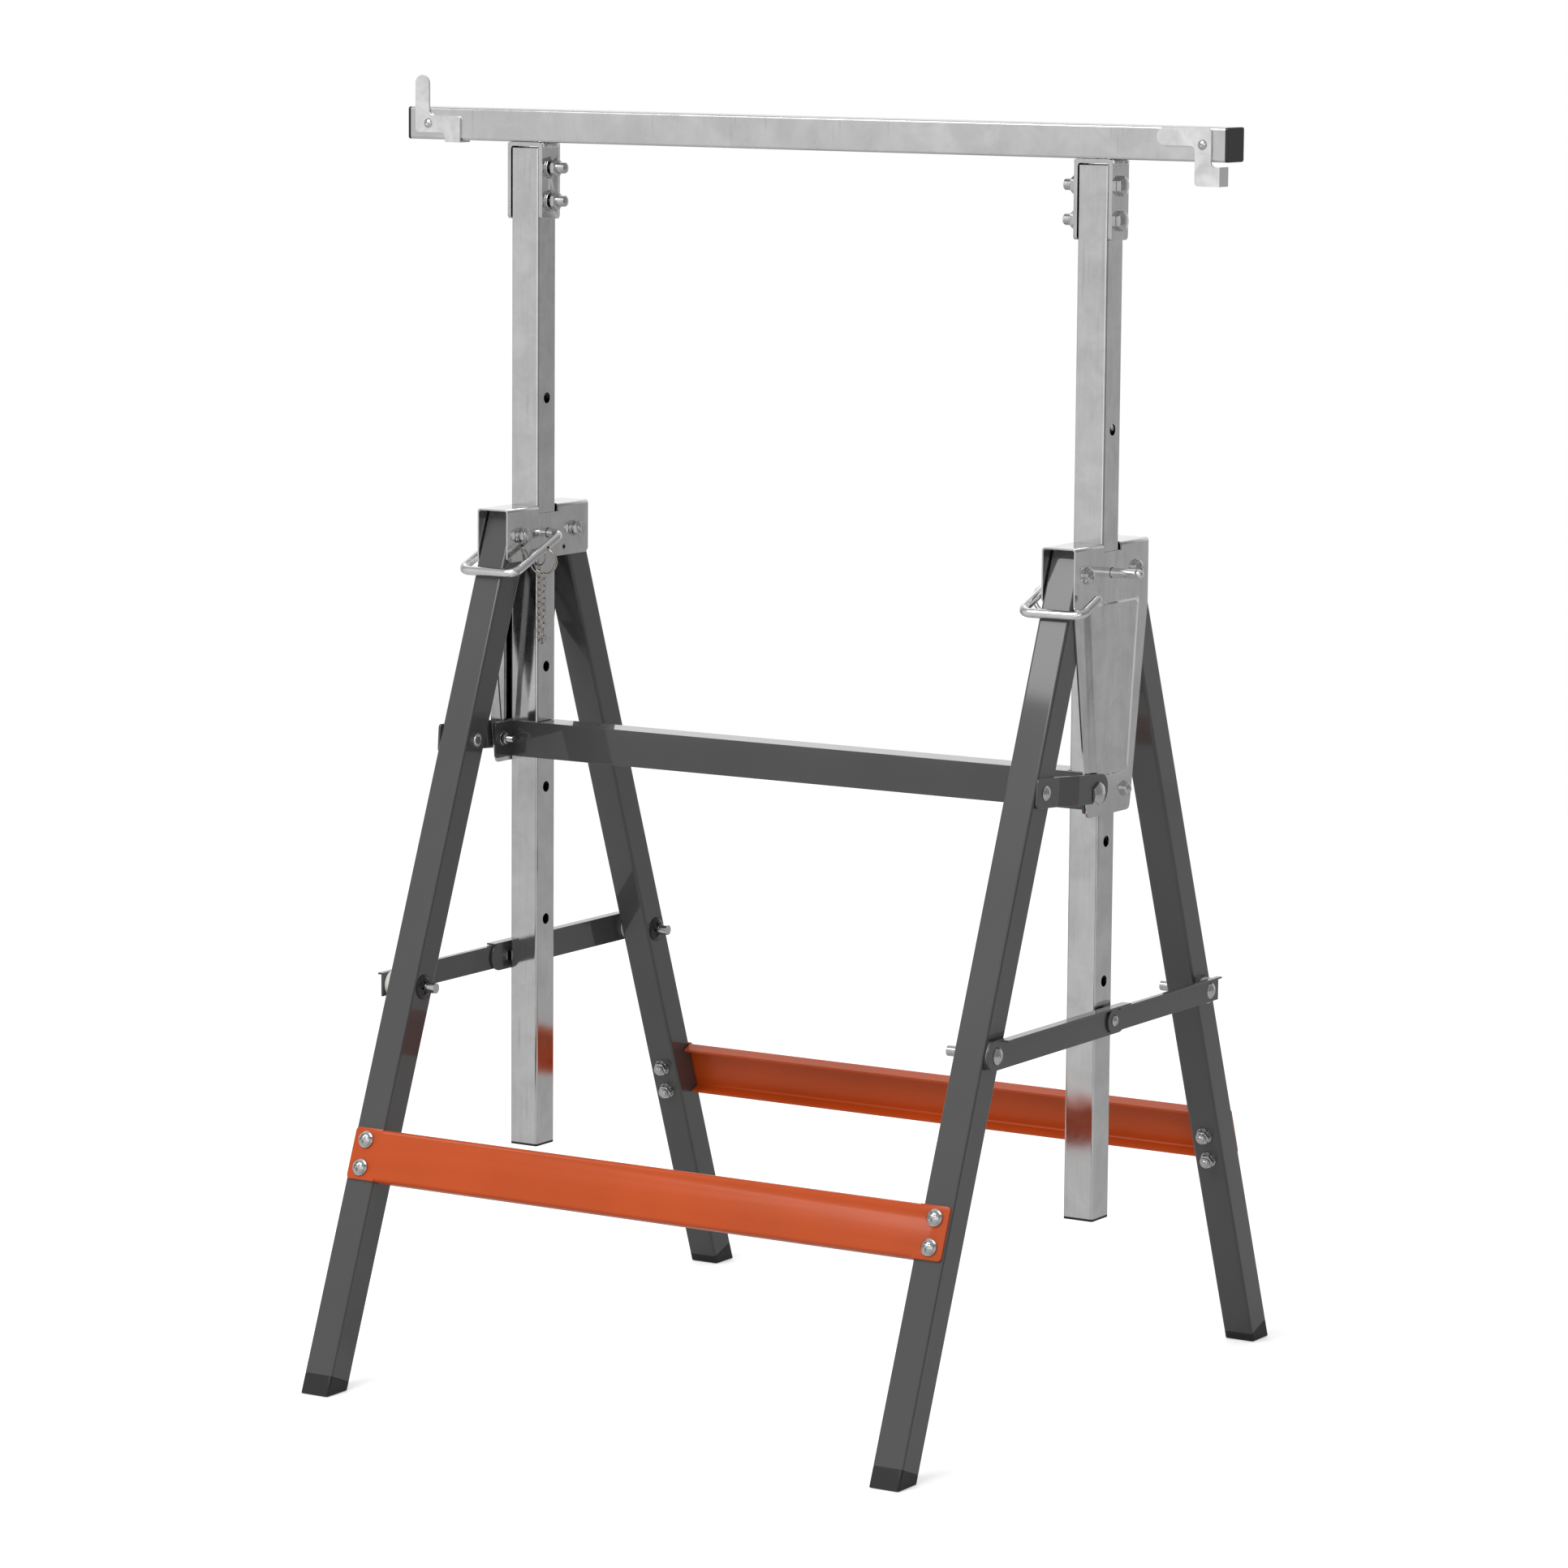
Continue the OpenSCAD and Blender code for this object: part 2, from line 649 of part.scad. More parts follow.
// The half strut at one leg: the left pair is the right pair turned half round
module strut(side, front) {
  leg_bore = front > 0 ? bolt_d + 2 * turn : bolt_d + 2 * seat;
  knee_bore = front > 0 ? knee_d + 2 * seat : knee_d + 2 * turn;
  color(dark_grey) placed() sided(side) translate([0, front > 0 ? strut_front_y : strut_rear_y, strut_z])
    mirror([0, front > 0 ? 0 : 1, 0]) {
      if (side * front > 0) long_half(leg_bore, knee_bore);
      else short_half(leg_bore, knee_bore);
    }
}

// Knee rivet through both halves
module knee_rivet(side) {
  y = side > 0 ? strut_front_y + long_half_l : strut_front_y + short_half_l;
  outer = short_x + strut_sheet + gap;
  color(zinc) placed() sided(side) translate([0, y, strut_z]) {
    translate([long_x - 1.5, 0, 0]) to_x() cylinder(d = knee_d, h = outer - long_x + 2);
    translate([outer, 0, 0]) to_x() dome(8.5, 2);
    translate([long_x - seat, 0, 0]) rotate([0, -90, 0]) cylinder(d = 8, h = 1.5);
  }
}

// Head of the rear strut rivet, on the strut
module strut_end_rivet(side) {
  layer = side < 0 ? long_x : short_x;
  color(zinc) placed() sided(side) translate([layer, strut_rear_y, strut_z]) to_x() {
    cylinder(d = bolt_d, h = strut_sheet + 1);
    translate([0, 0, strut_sheet + seat]) dome(12.5, 2.6);
  }
}

// Galvanised top beam
module beam() {
  color(galvanised) placed() translate([0, 0, beam_z]) difference() {
    along_x(beam_l - 2 * cap_t) tube_section();
    for (s = [-1, 1]) translate([s * stop_x, -half, 0]) rotate([90, 0, 0])
      cylinder(d = stop_rivet_d + 2 * seat, h = 2 * tube_wall + 2, center = true);
  }
}

// Black caps in both ends of the beam
module beam_caps() {
  color(black) placed() translate([0, 0, beam_z]) for (s = [-1, 1]) {
    translate([s * (beam_l / 2 - cap_t / 2), 0, 0]) along_x(cap_t - 2 * seat) rounded(tube, tube, tube_r);
    translate([s * (beam_l / 2 - cap_t - plug_l / 2 + 0.5), 0, 0]) along_x(plug_l)
      rounded(tube - 2 * tube_wall - 2 * gap, tube - 2 * tube_wall - 2 * gap, 1);
  }
}

// Strap welded under the beam and bolted over the post
module saddle(side) {
  color(zinc) placed() sided(side) translate([post_x, 0, 0]) difference() {
    union() {
      intersection() {
        translate([0, half, saddle_top_z]) rotate([90, 0, 0]) linear_extrude(tube)
          rotate([0, 0, -90]) channel_section(2 * saddle_half, saddle_h, saddle_sheet, 4);
        translate([0, 0, saddle_top_z - saddle_h / 2 + 10]) along_x(60) rounded(tube, saddle_h + 20, 3);
      }
      for (s = [-1, 1]) translate([s * (saddle_half - 1), 0, saddle_top_z - 2.2])
        rotate([90, 0, 0]) cylinder(r = 2.1, h = tube - 3, center = true);
    }
    for (z = saddle_bolt_z) translate([0, 0, z]) bore_x(bolt_d + 2 * gap);
  }
}

// Post tube with its row of height holes
module post(side) {
  color(zinc) placed() translate([side * post_x, 0, 0]) difference() {
    translate([0, 0, post_bottom_z]) linear_extrude(post_top_z - post_bottom_z) tube_section();
    for (z = post_holes) translate([0, 0, z]) bore_x(pin_hole_d + 0.5);
    for (z = saddle_bolt_z) translate([0, 0, z]) bore_x(bolt_d + 2 * gap);
  }
}

// Black plugs in the lower ends of the posts
module post_plugs() {
  color(black) placed() for (s = [-1, 1]) translate([s * post_x, 0, post_bottom_z]) {
    translate([0, 0, -post_plug_t]) linear_extrude(post_plug_t - seat) rounded(tube, tube, tube_r);
    translate([0, 0, -1]) linear_extrude(plug_l)
      rounded(tube - 2 * tube_wall - 2 * gap, tube - 2 * tube_wall - 2 * gap, 1);
  }
}

// Bolts through saddles and posts, heads outside
module saddle_bolts() {
  color(zinc) placed() for (s = [-1, 1], z = saddle_bolt_z) sided(s)
    translate([post_x + saddle_half + seat, 0, z]) to_x() {
      hex_head(13, 5.3);
      translate([0, 0, -2 * saddle_half - 11.5]) cylinder(d = bolt_d, h = 2 * saddle_half + 12);
    }
}

// Nuts and washers of the saddle bolts
module saddle_nuts() {
  color(zinc) placed() for (s = [-1, 1], z = saddle_bolt_z) sided(s)
    translate([post_x - saddle_half - seat, 0, z]) rotate([0, -90, 0]) {
      washer(17, bolt_d + 2 * seat, 1.6);
      translate([0, 0, 1.6 + seat]) nut(13, 6.5, bolt_d);
    }
}

// Rivets that the material stops turn on
module stop_rivets() {
  face = half + gap + stop_sheet + seat;
  color(zinc) placed() for (s = [-1, 1]) translate([s * stop_x, 0, beam_z]) {
    difference() {
      translate([0, -face, 0]) rotate([90, 0, 0]) dome(7.5, 1.8);
      translate([0, -face - 0.9, 0]) rotate([90, 0, 0]) cylinder(d = 2.3, h = 3);
    }
    translate([0, -face - 0.3, 0]) rotate([-90, 0, 0])
      cylinder(d = stop_rivet_d, h = stop_sheet + gap + tube_wall + 3);
    translate([0, -half + tube_wall + seat, 0]) rotate([-90, 0, 0]) cylinder(d = 7, h = 3);
  }
}

// Angled stop plate: long arm up, short arm along the beam, lip under the beam
module stop_plate() {
  arm_w = stop_out + stop_in;
  face = half + gap;
  fillet = 4;
  difference() {
    union() {
      translate([0, -face, 0]) rotate([90, 0, 0]) linear_extrude(stop_sheet) {
        translate([-stop_out, 0]) square([arm_w, stop_arm - arm_w / 2]);
        translate([-stop_out + arm_w / 2, stop_arm - arm_w / 2]) circle(arm_w / 2);
        translate([(stop_short - stop_out) / 2, (stop_high - stop_low) / 2])
          rounded(stop_short + stop_out, stop_high + stop_low, 3);
        translate([stop_short - stop_tab, -stop_lip]) square([stop_tab, stop_lip - 3]);
        difference() {
          translate([stop_in - 1, stop_high - 1]) square(fillet + 1);
          translate([stop_in + fillet, stop_high + fillet]) circle(fillet);
        }
        difference() {
          translate([stop_short - stop_tab - fillet, -stop_low - fillet]) square(fillet + 1);
          translate([stop_short - stop_tab - fillet, -stop_low - fillet]) circle(fillet);
        }
      }
      translate([stop_short - stop_tab, -face - stop_sheet, -stop_lip])
        cube([stop_tab, stop_lip_l, stop_sheet]);
    }
    rotate([90, 0, 0]) cylinder(d = stop_rivet_d + 2 * turn, h = 60, center = true);
  }
}

// The left stop stands up, the right one is its mirror image and lies folded
module stop(side) {
  color(zinc) placed() translate([side * stop_x, 0, beam_z])
    rotate([0, side > 0 ? -90 : 0, 0]) sided(-side) stop_plate();
}

// Locking pin: shank, arm, run and stub of one bent wire, in the plane of the shank and the arm
module wire(l) {
  cylinder(d = wire_d, h = l);
}

module wire_bend() {
  rotate_extrude(angle = 90) translate([pin_bend, 0]) circle(d = wire_d);
}

module pin(side) {
  b = pin_bend;
  color(zinc) placed() sided(side) translate([0, 0, pin_z]) rotate([pin_slope, 0, 0]) difference() {
    union() {
      translate([tube_out_x + gap, 0, 0]) to_x() cylinder(d = wire_d, h = pin_tip_x - tube_out_x - gap - 6);
      translate([pin_tip_x - 6.5, 0, 0]) to_x() cylinder(d = wire_d - 1.6, h = 4);
      translate([pin_tip_x - wire_d / 2, 0, 0]) sphere(d = wire_d);
      translate([pin_arm_x + b, 0, 0]) to_x() wire(tube_in_x - gap - pin_arm_x - b);
      translate([pin_arm_x + b, -b, 0]) rotate([0, 0, 90]) wire_bend();
      translate([pin_arm_x, -b, 0]) rotate([90, 0, 0]) wire(pin_run - 2 * b);
      translate([pin_arm_x + b, -pin_run + b, 0]) rotate([0, 0, 180]) wire_bend();
      translate([pin_arm_x + b, -pin_run, 0]) to_x() wire(pin_stub_x - pin_arm_x - 2 * b);
      translate([pin_stub_x - b, -pin_run + b, 0]) rotate([0, 0, 270]) wire_bend();
      translate([pin_stub_x, -pin_run + b, 0]) rotate([-90, 0, 0]) wire(pin_stub_l - b - wire_d / 2);
      translate([pin_stub_x, -pin_run + pin_stub_l - wire_d / 2, 0]) sphere(d = wire_d);
    }
    translate([pin_arm_x, -pin_ring_s, 0]) bore_x(3.4, 12);
  }
}

// Oval chain link standing in the XZ plane, and one turned a quarter
module link(turned) {
  r = (link_w - link_wire) / 2;
  straight = link_in - link_w + 2 * link_wire;
  rotate([0, 0, turned ? 90 : 0]) rotate([90, 0, 0]) {
    for (s = [-1, 1]) translate([s * r, -straight / 2, 0]) rotate([-90, 0, 0])
      cylinder(d = link_wire, h = straight, $fn = 16);
    for (s = [0, 180]) rotate([0, 0, s]) translate([0, straight / 2, 0])
      rotate_extrude(angle = 180, $fn = 24) translate([r, 0]) circle(d = link_wire, $fn = 16);
  }
}

module ring(r) {
  rotate([90, 0, 0]) rotate_extrude() translate([r, 0]) circle(d = ring_wire, $fn = 16);
}

// A strand of n links under a ring: it twists and draws in towards the other strand
module strand(n, top, towards) {
  for (i = [0 : n - 1]) {
    share = i / (n - 1);
    translate([towards * share * bow_draw * cos(bow_heading), towards * share * bow_draw * sin(bow_heading),
               top - i * link_pitch]) rotate([0, 0, share * bow_heading]) link(i % 2 == 0);
  }
}

// Ring in the pin's arm and the strand that hangs from it
module pin_chain(side) {
  color(zinc) placed() sided(side) translate(arm_hole) translate([0, 0, -arm_ring_r]) {
    ring(arm_ring_r);
    strand(arm_links, first_link(arm_ring_r), 1);
  }
}

// Ring in the head, its strand, and the bow at the bottom that leads to the other strand
module head_chain(side) {
  color(zinc) placed() sided(side) {
    translate(head_hang) {
      ring(head_ring_r);
      strand(head_links, first_link(head_ring_r), -1);
    }
    translate([(arm_hole[0] + head_hang[0]) / 2, (arm_hole[1] + head_hang[1]) / 2, bow_z])
      rotate([0, 0, bow_heading]) for (i = [1 : bow_links])
        rotate([0, (i - 0.5) * 180 / bow_links, 0]) translate([bow_r, 0, 0]) link(i % 2 == 0);
  }
}

head(-1);  // head_left
head(1);  // head_right
leg(-1, 1);  // front_leg_left
leg(1, 1);  // front_leg_right
foot(-1, 1);  // front_foot_left
foot(1, 1);  // front_foot_right
rail(1);  // front_rail
rail_screws(1);  // front_rail_screws
rail_nuts(1);  // front_rail_nuts
cross_rail();
latch_bolts();
latch_nuts();
guide_rivets();
pivot_screws();
pivot_nuts();
latch_rivets();
strut_studs(1);  // strut_studs_front
strut_spacers(1);  // strut_spacers_front
push_nuts(1);  // push_nuts_front
leg(-1, -1);  // rear_leg_left
leg(1, -1);  // rear_leg_right
foot(-1, -1);  // rear_foot_left
foot(1, -1);  // rear_foot_right
rail(-1);  // rear_rail
rail_screws(-1);  // rear_rail_screws
rail_nuts(-1);  // rear_rail_nuts
strut_studs(-1);  // strut_studs_rear
strut_spacers(-1);  // strut_spacers_rear
push_nuts(-1);  // push_nuts_rear
latch(-1);  // latch_left
latch(1);  // latch_right
strut(-1, 1);  // strut_front_left
strut(1, 1);  // strut_front_right
strut(-1, -1);  // strut_rear_left
strut(1, -1);  // strut_rear_right
knee_rivet(-1);  // knee_rivet_left
knee_rivet(1);  // knee_rivet_right
strut_end_rivet(-1);  // strut_end_rivet_left
strut_end_rivet(1);  // strut_end_rivet_right
beam();
beam_caps();
saddle(-1);  // saddle_left
saddle(1);  // saddle_right
post(-1);  // post_left
post(1);  // post_right
post_plugs();
saddle_bolts();
saddle_nuts();
stop_rivets();
stop(-1);  // stop_left
stop(1);  // stop_right
pin(-1);  // pin_left
pin(1);  // pin_right
pin_chain(-1);  // pin_chain_left
pin_chain(1);  // pin_chain_right
head_chain(-1);  // head_chain_left
head_chain(1);  // head_chain_right
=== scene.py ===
# %% [markdown]
# # A builders trestle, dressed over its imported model
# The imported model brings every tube, rail, bolt and pin at its true size and place, in metres.
# This notebook gives each of them its finish, adds the small shapes that the solid model
# leaves plain, and sets up the studio and the camera of the photograph.

# %% Load the frame
import json
import math

import bmesh
import bpy
import numpy as np
from mathutils import Matrix, Vector


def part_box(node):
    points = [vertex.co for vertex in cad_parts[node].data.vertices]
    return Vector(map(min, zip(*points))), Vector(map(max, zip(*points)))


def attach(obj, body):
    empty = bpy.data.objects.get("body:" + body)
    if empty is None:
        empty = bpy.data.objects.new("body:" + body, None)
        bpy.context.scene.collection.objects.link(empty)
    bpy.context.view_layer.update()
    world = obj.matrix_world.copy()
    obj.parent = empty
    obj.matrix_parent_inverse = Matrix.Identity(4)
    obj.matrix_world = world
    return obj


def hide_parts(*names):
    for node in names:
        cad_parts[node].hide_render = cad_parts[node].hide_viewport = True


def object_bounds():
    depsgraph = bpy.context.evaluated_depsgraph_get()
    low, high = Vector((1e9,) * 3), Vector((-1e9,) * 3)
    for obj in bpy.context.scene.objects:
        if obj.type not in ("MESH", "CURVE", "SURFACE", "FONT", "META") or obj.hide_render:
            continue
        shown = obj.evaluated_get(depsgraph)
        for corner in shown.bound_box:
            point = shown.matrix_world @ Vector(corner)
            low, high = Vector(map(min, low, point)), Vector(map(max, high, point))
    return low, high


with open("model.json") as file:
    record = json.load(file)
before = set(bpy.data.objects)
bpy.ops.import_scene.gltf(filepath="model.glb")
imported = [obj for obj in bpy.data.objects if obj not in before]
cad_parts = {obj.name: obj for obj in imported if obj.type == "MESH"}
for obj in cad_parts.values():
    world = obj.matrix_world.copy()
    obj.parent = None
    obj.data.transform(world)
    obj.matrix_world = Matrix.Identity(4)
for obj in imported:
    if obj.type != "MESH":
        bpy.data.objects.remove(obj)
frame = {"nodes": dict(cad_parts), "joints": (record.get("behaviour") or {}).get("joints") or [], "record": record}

CAD_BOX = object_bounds()
NODES = frame["nodes"]
JOINTS = {joint["name"]: joint for joint in frame["joints"]}
PIVOT_Y, PIVOT_Z = JOINTS["rear_fold"]["pos_m"][1:]
POST_LOW, POST_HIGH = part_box("post_right")
POST_X = (POST_LOW.x + POST_HIGH.x) / 2
POST_Y = (POST_LOW.y + POST_HIGH.y) / 2
SIDES = (("left", -1), ("right", 1))
print("nodes:", len(NODES), "joints:", len(JOINTS))

# %% [markdown]
# ## The camera
# The photograph was taken with a long lens, from the front right and a little above.
# The place and turn below were worked out from the corners of the trestle, so the render
# and the photograph can be laid over each other.

# %% Camera
IMAGE_PX = 1932
FOCAL_PX = 7302.388
SENSOR_MM = 36.0
CLIP_END = 50
# The fit had its origin in the plane of the posts, this far in front of the rear pivots
PIVOT_BEHIND_POST = 0.037
CAMERA_AT = Vector((2.339205, -3.815824 + (PIVOT_Y - PIVOT_BEHIND_POST), 1.089793))
AZIMUTH, ELEVATION, ROLL = (math.radians(degrees) for degrees in (31.707, 8.116, 0.454))


def camera_turn(azimuth, elevation, roll):
    """Rotation whose columns are the camera's right, up and backward directions.
    Forward is (-sin a cos e, cos a cos e, -sin e); roll turns right and up about it."""
    forward = Vector((-math.sin(azimuth) * math.cos(elevation),
                      math.cos(azimuth) * math.cos(elevation), -math.sin(elevation)))
    level = Vector((math.cos(azimuth), math.sin(azimuth), 0))
    upright = level.cross(forward)
    right = level * math.cos(roll) + upright * math.sin(roll)
    up = upright * math.cos(roll) - level * math.sin(roll)
    return Matrix((right, up, -forward)).transposed()


camera = bpy.data.objects.new("camera", bpy.data.cameras.new("camera"))
camera.data.sensor_width = SENSOR_MM
camera.data.lens = FOCAL_PX / IMAGE_PX * SENSOR_MM
camera.data.clip_end = CLIP_END
camera_place = Matrix.Translation(CAMERA_AT)
camera.matrix_world = camera_place @ camera_turn(AZIMUTH, ELEVATION, ROLL).to_4x4()
bpy.context.scene.collection.objects.link(camera)
bpy.context.scene.camera = camera
bpy.context.scene.view_settings.view_transform = "Standard"
print("lens", round(camera.data.lens, 2), "mm")

# %% [markdown]
# ## Node helpers
# The studio and the finishes are networks of shader nodes. These few functions make a node,
# feed its inputs with sockets or plain values, and hand back the socket that comes out.

# %% Node helpers
def feed(tree, value, target):
    """A wire from a socket to an input, or the input's own value."""
    if isinstance(value, bpy.types.NodeSocket):
        tree.links.new(value, target)
    else:
        target.default_value = value


def add_node(tree, kind, inputs=None, **properties):
    """A node with its properties, and its inputs by name or number."""
    node = tree.nodes.new(kind)
    for key, value in properties.items():
        setattr(node, key, value)
    for title, value in (inputs or {}).items():
        feed(tree, value, node.inputs[title])
    return node


def maths(tree, operation, first, second):
    """One arithmetic step on two sockets or numbers."""
    return add_node(tree, "ShaderNodeMath", {0: first, 1: second}, operation=operation).outputs[0]


def remap(tree, value, low, high, to_low=0.0, to_high=1.0, step="LINEAR"):
    """Values from low to high become to_low to to_high, with both ends held."""
    spans = {"Value": value, "From Min": low, "From Max": high,
             "To Min": to_low, "To Max": to_high}
    return add_node(tree, "ShaderNodeMapRange", spans, interpolation_type=step).outputs["Result"]


def mix_colours(tree, share, first, second):
    """First colour where share is 0, second where it is 1."""
    return add_node(tree, "ShaderNodeMix", {0: share, 6: first, 7: second},
                    data_type="RGBA").outputs[2]


def bump(tree, height, distance, strength=1.0, under=None):
    """Normal of a surface raised by height times distance, in metres, over another normal."""
    inputs = {"Height": height, "Distance": distance, "Strength": strength}
    if under is not None:
        inputs["Normal"] = under
    return add_node(tree, "ShaderNodeBump", inputs).outputs["Normal"]


print("node helpers ready")

# %% [markdown]
# ## The studio
# The photograph is a catalogue shot: one large softbox at the front left, a bright backdrop
# behind the trestle and a dimmer room elsewhere. Bare zinc and gloss paint show all of that
# as reflections, so the world is built from a few soft lobes of light, each a direction, a
# width and a strength. What the camera sees directly is lifted to white, and so is the
# backdrop where metal mirrors it.

# %% World and floor
WORLD_BASE = 0.28
# Each lobe: where it comes from, the cosines at which it starts and is full, and its strength
WORLD_LOBES = {
    "backdrop": ((-0.53, 0.85, 0.0), 0.20, 0.90, 0.48),
    "softbox_behind": ((-0.48, 0.76, 0.44), 0.935, 0.985, 1.4),
    "front_left_wall": ((-0.55, -0.83, -0.05), 0.55, 0.90, 0.44),
    "front_right_card": ((0.52, -0.84, 0.14), 0.82, 0.975, 0.75),
    "ceiling": ((0.0, 0.0, 1.0), 0.40, 0.95, 0.22),
}
# The way to the white backdrop that mirrored rays see, and the cosines of its soft edge
WHITE_BACKDROP = ((-0.53, 0.85, 0.10), 0.80, 0.95, 1.0)
WHITE = (1, 1, 1, 1)
FLOOR_GREY = (0.62, 0.62, 0.62, 1)
FLOOR_PAPER = (0.97, 0.97, 0.97, 1)
FLOOR_LIFT = 0.42
FLOOR_SIZE = 6.0
FLOOR_DROP = 0.0005
KEY_AT = (-0.51, -2.27, 3.03)
KEY_TOWARDS = (0, 0, 0.5)
KEY_WIDTH, KEY_HEIGHT = 2.4, 2.0
KEY_POWER = 67


def lobe(tree, direction, start, full, strength):
    """Strength times a smooth step of the cosine between the ray and a direction."""
    ray = add_node(tree, "ShaderNodeTexCoord").outputs["Generated"]
    cosine = add_node(tree, "ShaderNodeVectorMath", {0: ray, 1: Vector(direction).normalized()},
                      operation="DOT_PRODUCT").outputs["Value"]
    return remap(tree, cosine, start, full, 0.0, strength, "SMOOTHSTEP")


def build_world():
    """Brightness is a base plus all lobes. Camera rays see plain white, and so do mirrored
    and refracted rays that leave towards the backdrop behind the trestle."""
    world = bpy.data.worlds.new("studio")
    world.use_nodes = True
    tree = world.node_tree
    tree.nodes.clear()
    total = WORLD_BASE
    for settings in WORLD_LOBES.values():
        total = maths(tree, "ADD", lobe(tree, *settings), total)
    soft = add_node(tree, "ShaderNodeBackground", {"Color": WHITE, "Strength": total})
    white = add_node(tree, "ShaderNodeBackground", {"Color": WHITE, "Strength": 1.0})
    ray = add_node(tree, "ShaderNodeLightPath").outputs
    mirrored = maths(tree, "MAXIMUM", ray["Is Glossy Ray"], ray["Is Transmission Ray"])
    behind = maths(tree, "MULTIPLY", mirrored, lobe(tree, *WHITE_BACKDROP))
    plain = maths(tree, "MAXIMUM", ray["Is Camera Ray"], behind)
    mix = add_node(tree, "ShaderNodeMixShader",
                   {"Fac": plain, 1: soft.outputs[0], 2: white.outputs[0]})
    add_node(tree, "ShaderNodeOutputWorld", {"Surface": mix.outputs[0]})
    bpy.context.scene.world = world


def build_floor():
    """A pale floor that renders white where it is lit and keeps the trestle's shadow."""
    half = FLOOR_SIZE / 2
    mesh = bpy.data.meshes.new("floor")
    mesh.from_pydata([(-half, -half, 0), (half, -half, 0), (half, half, 0), (-half, half, 0)],
                     [], [(0, 1, 2, 3)])
    floor = bpy.data.objects.new("floor", mesh)
    bpy.context.scene.collection.objects.link(floor)
    floor.location.z = CAD_BOX[0].z - FLOOR_DROP
    material = bpy.data.materials.new("pale_floor")
    material.use_nodes = True
    tree = material.node_tree
    tree.nodes.clear()
    paper = add_node(tree, "ShaderNodeBsdfDiffuse", {"Color": FLOOR_GREY})
    seen = add_node(tree, "ShaderNodeBsdfDiffuse", {"Color": FLOOR_PAPER})
    glow = add_node(tree, "ShaderNodeEmission", {"Strength": FLOOR_LIFT})
    both = add_node(tree, "ShaderNodeAddShader", {0: seen.outputs[0], 1: glow.outputs[0]})
    ray = add_node(tree, "ShaderNodeLightPath").outputs
    mix = add_node(tree, "ShaderNodeMixShader",
                   {"Fac": ray["Is Camera Ray"], 1: paper.outputs[0], 2: both.outputs[0]})
    add_node(tree, "ShaderNodeOutputMaterial", {"Surface": mix.outputs[0]})
    mesh.materials.append(material)


def add_softbox(name, at, towards, width, height, power):
    """A rectangular area lamp at one point, facing another."""
    lamp = bpy.data.lights.new(name, "AREA")
    lamp.shape = "RECTANGLE"
    lamp.size, lamp.size_y = width, height
    lamp.energy = power
    softbox = bpy.data.objects.new(name, lamp)
    softbox.location = at
    way = Vector(towards) - Vector(at)
    softbox.rotation_euler = way.to_track_quat("-Z", "Y").to_euler()
    bpy.context.scene.collection.objects.link(softbox)


build_world()
build_floor()
add_softbox("key_softbox", KEY_AT, KEY_TOWARDS, KEY_WIDTH, KEY_HEIGHT, KEY_POWER)
print("studio:", len(WORLD_LOBES), "lobes over", WORLD_BASE, "and a softbox of", KEY_POWER, "W")

# %% [markdown]
# ## Finishes
# Every finish is more than a colour. Paint has a faint orange peel, a little dust and scuffs.
# Zinc has cloudy crystal patches, rolling marks and thin scratches. These effects are two
# node groups, built once and placed in each material with its own values.

# %% Effect groups
# Each pattern: how the coordinates are stretched, then the noise's scale per metre, detail
# and roughness, and the span of its values that becomes 0 to 1, if it is cut
PATTERNS = {
    "rolled": ((18, 18, 1), 22, 3, 0.55, (0.3, 0.7)),
    "scratches": ((30, 30, 1.2), 16, 2, 0.5, (0.66, 0.74)),
    "pinholes": ((1, 1, 1), 420, 1, 0.4, (0.72, 0.78)),
    "waves": ((1, 1, 0.35), 26, 2, 0.4, None),
    "dusty_places": ((1, 1, 1), 45, 2, 0.55, (0.55, 0.75)),
    "scuffs": ((1, 6, 0.4), 70, 5, 0.7, (0.62, 0.8)),
    "shade": ((1, 1, 1), 9, 3, 0.55, (0.3, 0.7)),
}
# The patterns whose scale is a group's input have only detail, roughness and distortion
PATCH_NOISE = (5, 0.62, 0.6)
GRAIN_NOISE = (2, 0.5)
PEEL_NOISE = (1, 0.5)
PATCH_SPAN = (0.3, 0.7)
SPECK_SCALE = 160
SPECK_EDGE = (0.05, 0.12)


def new_group(name, inputs, outputs):
    """A node group with named number inputs, their defaults, and number outputs, and the
    sockets that its inputs arrive at."""
    group = bpy.data.node_groups.new(name, "ShaderNodeTree")
    for title, default in inputs.items():
        socket = group.interface.new_socket(title, in_out="INPUT", socket_type="NodeSocketFloat")
        socket.default_value = default
    for title in outputs:
        group.interface.new_socket(title, in_out="OUTPUT", socket_type="NodeSocketFloat")
    return group, add_node(group, "NodeGroupInput").outputs


def stretched(group, stretch=(1, 1, 1)):
    """Object coordinates, stretched along the axes."""
    coords = add_node(group, "ShaderNodeTexCoord").outputs["Object"]
    return add_node(group, "ShaderNodeMapping",
                    {"Vector": coords, "Scale": stretch}).outputs["Vector"]


def noise(group, vector, scale, detail, roughness, distortion=0.0):
    """Fractal noise between 0 and 1 on the given coordinates."""
    return add_node(group, "ShaderNodeTexNoise",
                    {"Vector": vector, "Scale": scale, "Detail": detail,
                     "Roughness": roughness, "Distortion": distortion}).outputs["Fac"]


def pattern(group, name):
    """One of the noises of the table above."""
    stretch, scale, detail, roughness, span = PATTERNS[name]
    value = noise(group, stretched(group, stretch), scale, detail, roughness)
    return remap(group, value, *span) if span else value


